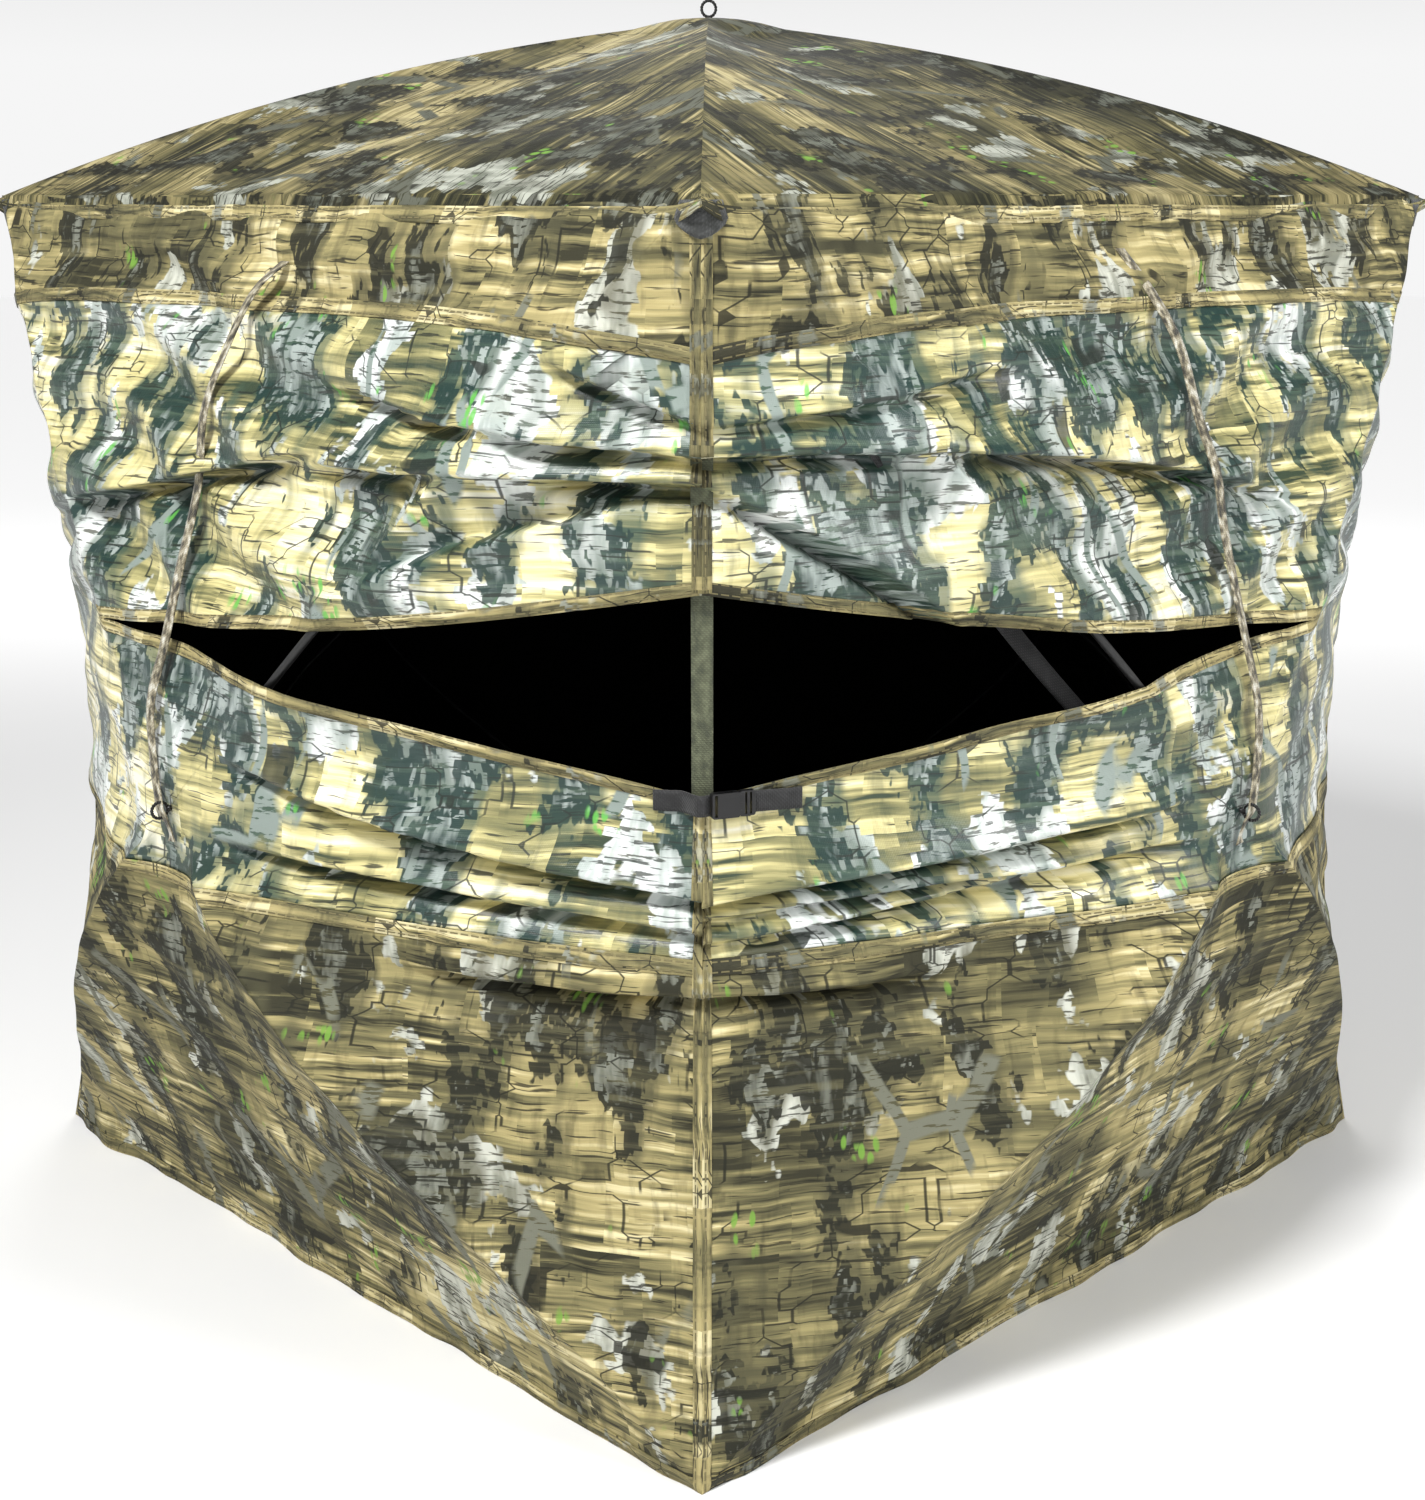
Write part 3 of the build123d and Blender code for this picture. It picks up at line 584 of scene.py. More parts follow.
materials = {
    # matt printed polyester: dull, grainy and warm
    "brown": printedPolyester("printedPolyesterMatt", brownPrint, 0.72, 0.2),
    # the roof's cloth: the same print with every tone darker, painted shade so that the roof, which faces the
    # lamps, reads darker than the walls
    "roof": printedPolyester("printedPolyesterRoofShaded", shadedRoofPrint, 0.75, 0.15),
    # the window panels' satin side: pale, and white where a roll faces the light
    "bright": printedPolyester("printedPolyesterSatin", brightPrint, 0.36, 0.5),
    # binding cut from the print and sewn on, with its stitches showing as pale dashes
    "tape": stitchedTape("boundPrintedTape", tapePrint, 0.7),
    # a black light-tight coating: no gloss, so that the inside reads as dark
    "lining": coatedLining("coatedPolyesterBack"),
    # nylon webbing, woven in ribs: dull, with a thread pattern that catches the light
    "camoWeb": wovenWebbing("printedWebbing", ("#2d2b21", "#6d654e", "#b0a78c", "#e2dfd0")),
    "oliveWeb": wovenWebbing("wovenOliveWebbing", ("#3f4430", "#4d523a", "#585d44", "#686d52")),
    "blackWeb": wovenWebbing("wovenBlackWebbing", ("#0d0d0e", "#141415", "#1b1b1c", "#272728"), 0.65),
    "greyCloth": wovenWebbing("wovenGreyPatch", ("#2c2e2b", "#3b3d3b", "#4a4c4b", "#5d5f5e"), 0.75),
    # pulled or moulded plastics: dark, with a soft gloss broken by fine grain and rubbed spots
    "fibreglass": mouldedPlastic("pultrudedFibreglass", "#161616", "#2b2b2a", 0.42, 0.0012),
    "nylon": mouldedPlastic("mouldedNylon", "#151516", "#2e2e2d", 0.55, 0.0010),
    "acetal": mouldedPlastic("mouldedAcetal", "#0e0e0f", "#232325", 0.36, 0.0012),
    "wire": mouldedPlastic("vinylCoatedWire", "#0d0d0d", "#262626", 0.34, 0.0015),
    # metal, drawn or stamped: bright streaks along the way it was worked
    "pin": paintedSteel("drawnSteelPin", "#8d8f92", "#b9bbbd", 0.32, 1.0),
    "slider": paintedSteel("stampedZipSlider", "#1a1a1a", "#8a8a86", 0.4, 0.85),
    "zipTape": wovenWebbing("wovenZipTape", ("#141411", "#1e1e1a", "#272722", "#33332c"), 0.7),
}
print("materials made")

# Meshes of cloth, drawn flat and then bent


def newObject(name, mesh, slots, thickness=0.0, lined=False):
    obj = bpy.data.objects.new(name, mesh)
    bpy.context.scene.collection.objects.link(obj)
    for slot in slots:
        mesh.materials.append(materials[slot])
    if thickness:
        layer = obj.modifiers.new("thickness", "SOLIDIFY")
        layer.thickness = thickness
        layer.offset = -1
        layer.use_even_offset = False
        if lined:
            layer.material_offset = 20  # past the last slot, so all of the back is lining
    return obj


def addPatch(draft, left, right, low, high, spacing, lift, slot, roll=(0, 0), tape=""):
    # One cut of cloth in the flat, from left to right and from low to high, which may be
    # functions of the place along. A tape's UV runs along it and across it.
    uv, lifts = draft.loops.layers.uv["cloth"], draft.verts.layers.float["lift"]
    lowAt = low if callable(low) else lambda along: low
    highAt = high if callable(high) else lambda along: high
    columns = max(1, math.ceil((right - left) / spacing))
    tallest = max(highAt(mix(left, right, k / 8)) - lowAt(mix(left, right, k / 8)) for k in range(9))
    rows = max(1, math.ceil(tallest / spacing))
    grid = []
    for i in range(columns + 1):
        along = mix(left, right, i / columns)
        bottom, top = lowAt(along), highAt(along)
        column = [draft.verts.new((along, 0, mix(bottom, top, k / rows))) for k in range(rows + 1)]
        for vert in column:
            vert[lifts] = lift
        grid.append(column)
    for i in range(columns):
        for k in range(rows):
            corners = (grid[i][k], grid[i + 1][k], grid[i + 1][k + 1], grid[i][k + 1])
            if (corners[3].co - corners[0].co).length < 1e-5:
                corners = corners[:3]
            if (corners[2].co - corners[1].co).length < 1e-5:
                corners = (corners[0], corners[1], corners[-1])
            talls = [grid[j][k + 1].co.z - grid[j][k].co.z for j in (i, i + 1)]
            if len(set(corners)) < 3 or sum(talls) < 2e-5:
                continue
            face = draft.faces.new(corners)
            face.material_index = slot
            face.smooth = True
            for loop in face.loops:
                x, z = loop.vert.co.x, loop.vert.co.z
                spot = (x + roll[0], z + roll[1])
                if tape == "level":
                    spot = (x, z - lowAt(x))
                if tape == "upright":
                    spot = (z, x - left)
                loop[uv].uv = spot


def cutAlong(draft, start, end, keep):
    # cuts the flat cloth's faces that keep() picks, along the line from start to end
    faces = [face for face in draft.faces if keep(face.calc_center_median())]
    geometry = set(faces)
    for face in faces:
        geometry.update(face.edges)
        geometry.update(face.verts)
    way = Vector((end[0] - start[0], 0, end[1] - start[1]))
    place, normal = (start[0], 0, start[1]), (-way.z, 0, way.x)
    bmesh.ops.bisect_plane(draft, geom=list(geometry), plane_co=place, plane_no=normal)


def petalOf(point):
    side, rise = wallRing(point.x, point.z)
    if abs(rise) >= side:
        return "top" if rise > 0 else "bottom"
    return "right_side" if point.x > 0 else "left_side"


doorPlan = dict(bottom=0.070, top=0.640, halfBottom=0.510, halfTop=0.075, corner=0.05, tapeWide=0.024)
wallSlots = ["brown", "bright", "tape", "lining"]


def drawWall(wall):
    # every cut of cloth and tape on one wall, in the flat
    draft = bmesh.new()
    draft.loops.layers.uv.new("cloth")
    draft.verts.layers.float.new("lift")
    plan = walls[wall]
    side, space, shift = plan["windowSide"], plan["mesh"], plan["seed"]
    left, right, tape = -halfWidth, halfWidth, seams["tape"]

    def addTape(start, end, low, tall, move=0.0):
        # a strip of tape along a seam that is a height or a function of the place along
        seam = low if callable(low) else lambda along: low
        addPatch(draft, start, end, lambda a: seam(a) + move, lambda a: seam(a) + move + tall, space,
                 0.0016, 2, tape="level")

    if side:
        bandSeam = lambda along: seams["band"] - 0.036 * abs(along / halfWidth) ** 5
        slitTop = lambda along: windowTop(side * along)
        slitBottom = lambda along: windowBottom(side * along)
        lowerSeam = lambda along: seams["lower"] + 0.012 * (1 - (along / halfWidth) ** 2)
        addPatch(draft, left, right, bandSeam, eave, space, 0, 0, (shift, 0.31))
        addPatch(draft, left, right, slitTop, bandSeam, space, 0, 1, (shift * 1.7, 0.77))
        addPatch(draft, left, right, lowerSeam, slitBottom, space, 0, 1, (shift * 2.3, 0.12))
        addPatch(draft, left, right, 0, lowerSeam, space, 0, 0, (shift * 3.1, 0.55))
        addTape(left, right, bandSeam, tape, -0.002)
        addTape(left, right, lowerSeam, tape, -tape)
        slitLeft, slitRight = sorted((side * seams["slitStart"], side * halfWidth))
        addTape(slitLeft, slitRight, slitTop, tape * 0.75 + 0.002, -0.002)
        addTape(slitLeft, slitRight, slitBottom, tape * 0.75 + 0.002, -tape * 0.75)
    else:
        addPatch(draft, left, right, seams["slit"], eave, space, 0, 0, (shift, 0.31))
        addPatch(draft, left, right, 0, seams["slit"], space, 0, 0, (shift * 2.1, 0.77))
        addTape(left, right, seams["slit"], tape, -tape / 2)
    addTape(left, right, 0.0, tape)
    for near in (left, right - 0.6 * tape):
        spans = [(0, eave)]
        if side * near > 0:  # the window takes the middle of this edge
            spans = [(windowTop(halfWidth), eave), (0, windowBottom(halfWidth))]
        for low, high in spans:
            addPatch(draft, near, near + 0.6 * tape, low, high, space, 0.0018, 2, tape="upright")
    everything = draft.verts[:] + draft.edges[:] + draft.faces[:]
    bmesh.ops.bisect_plane(draft, geom=everything, plane_co=(0, 0, hubHeight), plane_no=(0, 0, 1))
    for end in (eave, 0.0):
        upper = end > hubHeight
        for corner in ((left, end), (right, end)):
            cutAlong(draft, (0, hubHeight), corner, lambda point: (point.z > hubHeight) == upper)
    return draft


def bendWall(draft, wall):
    lifts = draft.verts.layers.float["lift"]
    for vert in draft.verts:
        vert.co = wallSpot(wall, vert.co.x, vert.co.z, vert[lifts])


def pickFaces(draft, keep):
    part = draft.copy()
    unwanted = [face for face in part.faces if not keep(face.calc_center_median())]
    bmesh.ops.delete(part, geom=unwanted, context="FACES")
    return part


def blendPetal(piece, wall, petal):
    # the cloth goes with the hub at the hub, and with the tent towards the wall's edge
    quarter = walls[wall]["quarter"]
    if petal in ("top", "bottom"):
        end = eave if petal == "top" else 0.0
        start, finish = [(0, mix(hubHeight, end, share)) for share in blendShares]
    else:
        hand = 1 if petal == "right_side" else -1
        start, finish = [(hand * halfWidth * share, hubHeight) for share in blendShares]
    ends = [Vector((*turned(x, -halfWidth, quarter), z)) for x, z in (start, finish)]
    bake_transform(piece, "tent", wall + "_hub", start=ends[0], end=ends[1])


def flatArea(draft):
    return sum(face.calc_area() for face in draft.faces)


def insideDoor(point):
    share = (point.z - doorPlan["bottom"]) / (doorPlan["top"] - doorPlan["bottom"])
    return 0 < share < 1 and abs(point.x) < mix(doorPlan["halfBottom"], doorPlan["halfTop"], share)


replaced = {
    "front": ["front_upper_band", "front_upper_panel", "front_lower_panel", "front_lower_wall"],
    "right": ["right_upper_band", "right_upper_panel", "right_lower_panel", "right_lower_wall"],
    "back": ["back_wall"],
    "left": ["left_wall"],
}


def makePetal(name, draft, wall, petal, nodesStoodFor):
    area = flatArea(draft)
    xs = [vert.co.x for vert in draft.verts]
    zs = [vert.co.z for vert in draft.verts]
    size = (max(xs) - min(xs), max(zs) - min(zs))
    bendWall(draft, wall)
    mesh = bpy.data.meshes.new(name)
    draft.to_mesh(mesh)
    draft.free()
    piece = newObject(name, mesh, wallSlots, wallForm["cloth"], lined=True)
    blendPetal(piece, wall, petal)
    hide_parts(*nodesStoodFor)
    # The area is raised to at least 0.3 of the piece's rectangle. A cut may not declare less than 0.3 of
    # its rectangle. The frame round the door is only 0.23 of it, so the area for that one piece is larger
    # than its true one.
    area = max(area, 0.3 * size[0] * size[1])
    return piece


for wall in walls:
    draft = drawWall(wall)
    for petal in ("top", "bottom", "left_side", "right_side"):
        part = pickFaces(draft, lambda point: petalOf(point) == petal)
        if wall == "back" and petal == "bottom":
            low, wide = doorPlan["bottom"], doorPlan["halfBottom"]
            high, narrow = doorPlan["top"], doorPlan["halfTop"]
            outline = [(-wide, low), (wide, low), (narrow, high), (-narrow, high)]
            for k in range(4):
                cutAlong(part, outline[k], outline[(k + 1) % 4], lambda point: True)
            door = pickFaces(part, insideDoor)
            rest = pickFaces(part, lambda point: not insideDoor(point))
            part.free()
            makePetal("door_panel_cloth", door, wall, petal, ["door_panel"])
            part = rest
        makePetal(f"{wall}_wall_{petal}", part, wall, petal, replaced[wall])
    draft.free()
print("walls bent over their rods")

# The roof: four gores that meet on the ridges, with a short valance
roofForm = dict(
    bow=0.040, slack=0.55, rows=64, columns=84,
    sagSize=0.20, sag=0.006, fine=0.0014, valanceFlare=0.007,
)


def roofSpot(quarter, share, ring, lift=0.0):
    # share runs from one ridge, -1, to the next, 1, and ring from the hub, 0, to the eave, 1;
    # past 1 it goes down the valance
    across = min(abs(share), 1.0)
    level = min(ring, 1.0)
    bow = roofForm["bow"] * 4 * level * (1 - level)
    z = mix(apex, eave, level) + bow * (1 - roofForm["slack"] * (1 - across ** 2))
    out = halfWidth * level
    along = share * out
    hold = (1 - across ** 3) * smooth(level, 0.05, 0.25) * (1 - 0.7 * smooth(level, 0.9, 1.0))
    seed = 31 + quarter * 7.3
    z += hold * roofForm["sag"] * ripple(along, out, roofForm["sagSize"], seed) * 2
    z += hold * roofForm["fine"] * ripple(along, out, 0.05, seed + 3)
    z = mix(apex + 0.0016, z, smooth(math.hypot(along, out), 0.043, 0.12))
    visor = max(0.0, 1 - (halfWidth - abs(along)) / 0.048) ** 1.3  # the valance lifts at the corners
    drop = max(ring - 1, 0.0) * halfWidth * (1 - 0.62 * visor)
    flare = roofForm["valanceFlare"] * smooth(drop, 0, valance)
    flare *= (1 + ripple(along, 0, 0.13, seed + 5)) * (1 - across ** 8)
    out += 0.0035 * smooth(drop, 0, 0.01) + flare + 0.012 * visor * smooth(drop, 0, 0.012)
    if drop:
        out += lift
    else:
        z += lift
    return Vector((*turned(along + share * (out - halfWidth * level), -out, quarter), z - drop))


def addGore(draft, quarter, shares, rings, lift, slot, tape=""):
    uv = draft.loops.layers.uv["cloth"]
    grid = []
    for ring in rings:
        row = []
        for share in shares(ring):
            vert = draft.verts.new(roofSpot(quarter, share, ring, lift))
            row.append((vert, (share * ring * halfWidth, ring * halfWidth)))
        grid.append(row)
    for lower, upper in zip(grid, grid[1:]):
        for k in range(len(lower) - 1):
            ring = (upper[k], upper[k + 1], lower[k + 1], lower[k])
            face = draft.faces.new([vert for vert, spot in ring])
            face.smooth = True
            face.material_index = slot
            for loop, (vert, spot) in zip(face.loops, ring):
                x, y = spot
                if tape == "level":
                    y -= rings[0] * halfWidth
                else:
                    x, y = y + quarter * 2.7 + 40, x + quarter * 1.1  # the grain runs down each gore
                loop[uv].uv = (x, y)


roofSlots = ["roof", "tape", "lining"]
for quarter, wall in enumerate(("front", "right", "back", "left")):
    draft = bmesh.new()
    draft.loops.layers.uv.new("cloth")
    valanceRing = 1 + valance / halfWidth
    rings = [mix(0.012, 1.0, k / roofForm["rows"]) for k in range(roofForm["rows"] + 1)]
    rings += [mix(1.0, valanceRing, k / 5) for k in range(1, 6)]
    fan = lambda ring: [mix(-1, 1, k / roofForm["columns"]) for k in range(roofForm["columns"] + 1)]
    addGore(draft, quarter, fan, rings, 0, 0)
    hemRings = [mix(valanceRing - 0.020 / halfWidth, valanceRing, k / 3) for k in range(4)]
    addGore(draft, quarter, fan, hemRings, 0.0014, 1, "level")
    bmesh.ops.recalc_face_normals(draft, faces=draft.faces)
    if sum(face.normal.z for face in draft.faces) < 0:
        bmesh.ops.reverse_faces(draft, faces=draft.faces)
    mesh = bpy.data.meshes.new("roof_" + wall)
    draft.to_mesh(mesh)
    draft.free()
    gore = newObject("roof_gore_" + wall, mesh, roofSlots, wallForm["cloth"], lined=True)
    ends = [Vector((*turned(0, -halfWidth * share, quarter), apex)) for share in blendShares]
    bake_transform(gore, "tent", "roof_hub", start=ends[0], end=ends[1])
    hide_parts("roof_canopy")
print("roof made")

# Rods: each follows its ridge, from its hub's pin to the corner's pocket


def addTube(draft, path, radius, sides=10, closed=False):
    rings = []
    count = len(path)
    turns = [2 * math.pi * n / sides for n in range(sides)]
    for k, point in enumerate(path):
        before = path[(k - 1) % count] if closed or k else point
        after = path[(k + 1) % count] if closed or k < count - 1 else point
        way = (after - before).normalized()
        across = (across - way * across.dot(way)).normalized() if rings else way.orthogonal().normalized()
        up = way.cross(across)
        spots = [point + (across * math.cos(t) + up * math.sin(t)) * radius for t in turns]
        rings.append([draft.verts.new(spot) for spot in spots])
    pairs = list(zip(rings, rings[1:])) + ([(rings[-1], rings[0])] if closed else [])
    for first, second in pairs:
        for n in range(sides):
            face = draft.faces.new((first[n], first[(n + 1) % sides], second[(n + 1) % sides], second[n]))
            face.smooth = True
    if not closed:
        draft.faces.new(rings[0][::-1])
        draft.faces.new(rings[-1])


def meshFrom(draft, name, slots, thickness=0.0):
    mesh = bpy.data.meshes.new(name)
    draft.to_mesh(mesh)
    draft.free()
    return newObject(name, mesh, slots, thickness)


def easePath(points, steps):
    # a smooth line through given points
    line = []
    for k in range(len(points) - 1):
        before, here, there = points[max(k - 1, 0)], points[k], points[k + 1]
        after = points[min(k + 2, len(points) - 1)]
        for n in range(steps):
            t = n / steps
            bend = 2 * before - 5 * here + 4 * there - after
            swing = 3 * here - before - 3 * there + after
            line.append(0.5 * (2 * here + (there - before) * t + bend * t ** 2 + swing * t ** 3))
    return line + [points[-1]]


rodForm = dict(radius=0.0055, inset=0.0105, pinAway=0.022, pinDeep=0.024, tip=0.978, steps=26)


def rodInset(share, deeper):
    # how far the rod's middle lies inside the cloth: more at its tip and near the hub
    return rodForm["inset"] + deeper * smooth(share, 0.85, 1.0) + 0.006 * (1 - smooth(share, 0.1, 0.25))


def wallRod(wall, level, hand):
    # the rod's line, in the wall's own (along, height) and reach
    tall = eave - hubHeight if level == "top" else -hubHeight
    way = Vector((hand * halfWidth, 0, tall)).normalized()
    pin = way * rodForm["pinAway"]
    spots = [(pin.x, hubReach - rodForm["pinDeep"], hubHeight + pin.z)]
    for k in range(1, rodForm["steps"] + 1):
        share = mix(0.10, rodForm["tip"], k / rodForm["steps"])
        x, reach = wallShape(hand * halfWidth * share, hubHeight + tall * share)
        spots.append((x, reach - rodInset(share, 0.010), hubHeight + tall * share))
    return [Vector((*turned(x, -reach, walls[wall]["quarter"]), z)) for x, reach, z in spots]


for wall in walls:
    for level in ("top", "bottom"):
        for hand, side in ((-1, "left"), (1, "right")):
            draft = bmesh.new()
            addTube(draft, easePath(wallRod(wall, level, hand), 2), rodForm["radius"])
            name = f"rod_{wall}_{level}_{side}"
            rod = meshFrom(draft, "bowed_" + name, ["fibreglass"])
            tall = eave - hubHeight if level == "top" else -hubHeight
            ends = []
            for share in blendShares:
                x, y = turned(hand * halfWidth * share, -halfWidth, walls[wall]["quarter"])
                ends.append(Vector((x, y, hubHeight + tall * share)))
            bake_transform(rod, "tent", wall + "_hub", start=ends[0], end=ends[1])
            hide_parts(name)
for quarter, name in enumerate(("front_right", "back_right", "back_left", "front_left")):
    x, y = turned(1, -1, quarter)
    way = Vector((x, y, 0)).normalized()
    spots = [way * rodForm["pinAway"] + Vector((0, 0, apex - rodForm["pinDeep"]))]
    for k in range(1, rodForm["steps"] + 1):
        share = mix(0.10, rodForm["tip"], k / rodForm["steps"])
        z = mix(apex, eave, share) + roofForm["bow"] * 4 * share * (1 - share) - rodInset(share, 0.012)
        spots.append(Vector((x * halfWidth * share, y * halfWidth * share, z)))
    draft = bmesh.new()
    addTube(draft, easePath(spots, 2), rodForm["radius"])
    rod = meshFrom(draft, "bowed_rod_roof_" + name, ["fibreglass"])
    ends = [Vector((x * halfWidth * share, y * halfWidth * share, apex)) for share in blendShares]
    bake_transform(rod, "tent", "roof_hub", start=ends[0], end=ends[1])
    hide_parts("rod_roof_" + name)
print("rods bowed")

# Straps and webbing


def addRibbon(name, line, across, width, thickness, slot, narrow=lambda share: 1.0):
    # a flat strap along a line; across gives the way over its width at each point
    draft = bmesh.new()
    uv = draft.loops.layers.uv.new("cloth")
    rows, run = [], 0.0
    for k, point in enumerate(line):
        if k:
            run += (point - line[k - 1]).length
        share = k / (len(line) - 1)
        side = across(share).normalized() * width / 2 * narrow(share)
        rows.append(([draft.verts.new(mix(point - side, point + side, n / 4)) for n in range(5)], run))
    for (first, low), (second, high) in zip(rows, rows[1:]):
        for n in range(4):
            face = draft.faces.new((first[n], first[n + 1], second[n + 1], second[n]))
            face.smooth = True
            spots = ((low, n), (low, n + 1), (high, n + 1), (high, n))
            for loop, (u, v) in zip(face.loops, spots):
                loop[uv].uv = (u, v / 4 * width)
    strap = meshFrom(draft, name, [slot], thickness)
    strap.modifiers["thickness"].offset = 0
    return strap, run


def tautSpot(wall, along, height, lift):
    # a strap pulled tight lies on the highest rolls near it
    near = [wallSpot(wall, along, height + step, 0) for step in (-0.045, -0.02, 0, 0.02, 0.045)]
    out = Vector((*turned(0, -1, walls[wall]["quarter"]), 0))
    spot = wallSpot(wall, along, height, 0)
    return spot + out * (max(point.dot(out) for point in near) - spot.dot(out) + lift)


windowStraps = {
    "front": [
        (0.040, 1.436), (0.030, 1.400), (-0.010, 1.330), (-0.036, 1.250), (-0.040, 1.150),
        (-0.036, 1.044), (-0.040, 0.950), (-0.052, 0.876), (-0.030, 0.800),
    ],
    "right": [
        (-0.044, 1.452), (-0.020, 1.394), (-0.004, 1.330), (0.014, 1.245), (0.030, 1.180),
        (0.033, 1.097), (0.040, 0.985), (0.044, 0.877), (0.028, 0.800),
    ],
}
# through the pull loop and down into a short tail: sideways, out from the hub and up from it
strapFoot = [(0.007, 0.015, 0.014), (0.0, 0.0175, 0.0), (-0.007, 0.014, -0.013),
             (-0.010, 0.010, -0.030), (-0.009, 0.009, -0.042)]
strapWidth = 0.018
for wall, places in windowStraps.items():
    quarter = walls[wall]["quarter"]
    sideways = Vector((*turned(1, 0, quarter), 0))
    knots = [tautSpot(wall, along, height, 0.0035) for along, height in places]
    knots[0] = wallSpot(wall, *places[0], 0.0022)
    hand = math.copysign(1, places[-1][0])
    for along, out, rise in strapFoot:
        knots.append(Vector((*turned(hand * along, -hubReach - out, quarter), hubHeight + rise)))
    line = easePath(knots, 8)
    ease = lambda share: sideways + Vector((0, 0, 0.25 * math.sin(share * 9)))
    narrow = lambda share: 1 - 0.6 * smooth(share, 0.80, 0.88) + 0.5 * smooth(share, 0.93, 1.0)
    strap, run = addRibbon("window_strap_" + wall + "_web", line, ease, strapWidth, 0.0016, "camoWeb", narrow)
    blendPetal(strap, wall, "top")
    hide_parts("window_strap_" + wall)

# the olive strap inside the window's corner, and the dark one beside the right wall's rod
lowEnd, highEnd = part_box("corner_strap")
bulge = Vector((0.004, -0.004, 0))
foot = Vector((lowEnd.x + 0.007, highEnd.y - 0.007, lowEnd.z - 0.055))
top = Vector((highEnd.x - 0.009, lowEnd.y + 0.009, highEnd.z))
line = easePath([foot, mix(foot, top, 0.33) - bulge, mix(foot, top, 0.66) - bulge, top], 14)
strap, run = addRibbon("corner_strap_web", line, lambda share: Vector((1, 1, 0)), 0.025, 0.0016, "oliveWeb")
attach(strap, "tent")
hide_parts("corner_strap")
lowEnd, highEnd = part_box("guide_strap")
foot = Vector((highEnd.x - 0.012, highEnd.y - 0.012, lowEnd.z + 0.01))
top = Vector((lowEnd.x + 0.012, lowEnd.y + 0.012, highEnd.z - 0.01))
sag = Vector((-0.012, 0, -0.006))
line = easePath([foot, mix(foot, top, 0.35) + sag, mix(foot, top, 0.7) + sag, top], 14)
edgeways = lambda share: (top - foot).cross(Vector((1, 0, 0)))
strap, run = addRibbon("guide_strap_web", line, edgeways, 0.025, 0.0016, "blackWeb")
blendPetal(strap, "right", "left_side")
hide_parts("guide_strap")
print("straps made")

# Pull loops: two coated wires twisted together and bent into a ring, knotted at the hub
loopForm = dict(
    ring=0.0115, wire=0.0013, twist=0.0012, turns=9, neck=0.008,
    knot=((0.0040, 0.0068), (0.0046, 0.0052), (0.0040, 0.0034), (0.0034, 0.0014)),  # radius and place
)


def addPullLoop(hub, face, out, up):
    draft = bmesh.new()
    side = out.cross(up)
    centre = face + out * (loopForm["neck"] + loopForm["ring"] - 0.0015)
    for strand in (0, math.pi):
        path = []
        for k in range(120):
            turn = 2 * math.pi * k / 120
            radial = out * math.cos(turn) + up * math.sin(turn) * 0.92
            spin = strand + loopForm["turns"] * turn
            reach = loopForm["ring"] + loopForm["twist"] * math.cos(spin)
            path.append(centre + radial * reach + side * loopForm["twist"] * math.sin(spin))
        addTube(draft, path, loopForm["wire"], 8, closed=True)
    for n, (radius, deep) in enumerate(loopForm["knot"]):
        knot = []
        for k in range(28):
            turn = 2 * math.pi * k / 28
            radial = side * math.cos(turn) + up * math.sin(turn)
            knot.append(face + out * (deep + 0.0004 * math.sin(2 * turn + n)) + radial * radius * 0.62)
        addTube(draft, knot, 0.0015, 8, closed=True)
    stem = [face + out * deep for deep in (-0.001, 0.002, 0.005, 0.0078)]
    addTube(draft, stem, 0.0026, 10)
    loop = meshFrom(draft, "pull_ring_" + hub, ["wire"])
    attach(loop, hub + "_hub")
    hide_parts("pull_loop_" + hub)


for wall, plan in walls.items():
    out = Vector((*turned(0, -1, plan["quarter"]), 0))
    addPullLoop(wall, out * hubReach + Vector((0, 0, hubHeight)), out, Vector((0, 0, 1)))
addPullLoop("roof", Vector((0, 0, apex)), Vector((0, 0, 1)), Vector((1, 1, 0)).normalized())

# The parts that keep their CAD shape get their own finishes
finishes = {
    "hub_pins_": "pin", "hub_": "nylon", "corner_feet": "nylon",
    "buckle_socket": "acetal", "buckle_latch": "acetal", "zip_slider": "slider",
}
for name, node in cadNodes.items():
    for start, slot in finishes.items():
        if name.startswith(start):
            node.data.materials.clear()
            node.data.materials.append(materials[slot])
            break

# Buckle webbing: the socket's goes round the corner to the front wall, and the latch's lies
# along the right wall's hem
lowEnd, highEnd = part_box("socket_web")
middle = (lowEnd.z + highEnd.z) / 2
around = [wallSpot("front", halfWidth - away, middle, 0.0045) for away in (0.062, 0.042, 0.024)]
around += [Vector((0.708, -0.7145, middle)), Vector((highEnd.x - 0.002, highEnd.y, middle))]
lowEnd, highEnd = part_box("latch_web")
inner, outer = Vector((lowEnd.x, lowEnd.y, middle)), Vector((highEnd.x + 0.002, highEnd.y, middle))
straight = [mix(inner, outer, share) for share in (0.0, 0.3, 0.7, 1.0)]
buckleWebs = {"socket_web": (around, "tent"), "latch_web": (straight, "buckle_latch")}
upright = lambda share: Vector((0, 0, 1))
for name, (places, body) in buckleWebs.items():
    web, run = addRibbon(name + "_strap", easePath(places, 8), upright, 0.025, 0.0018, "blackWeb")
    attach(web, body)
    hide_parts(name)

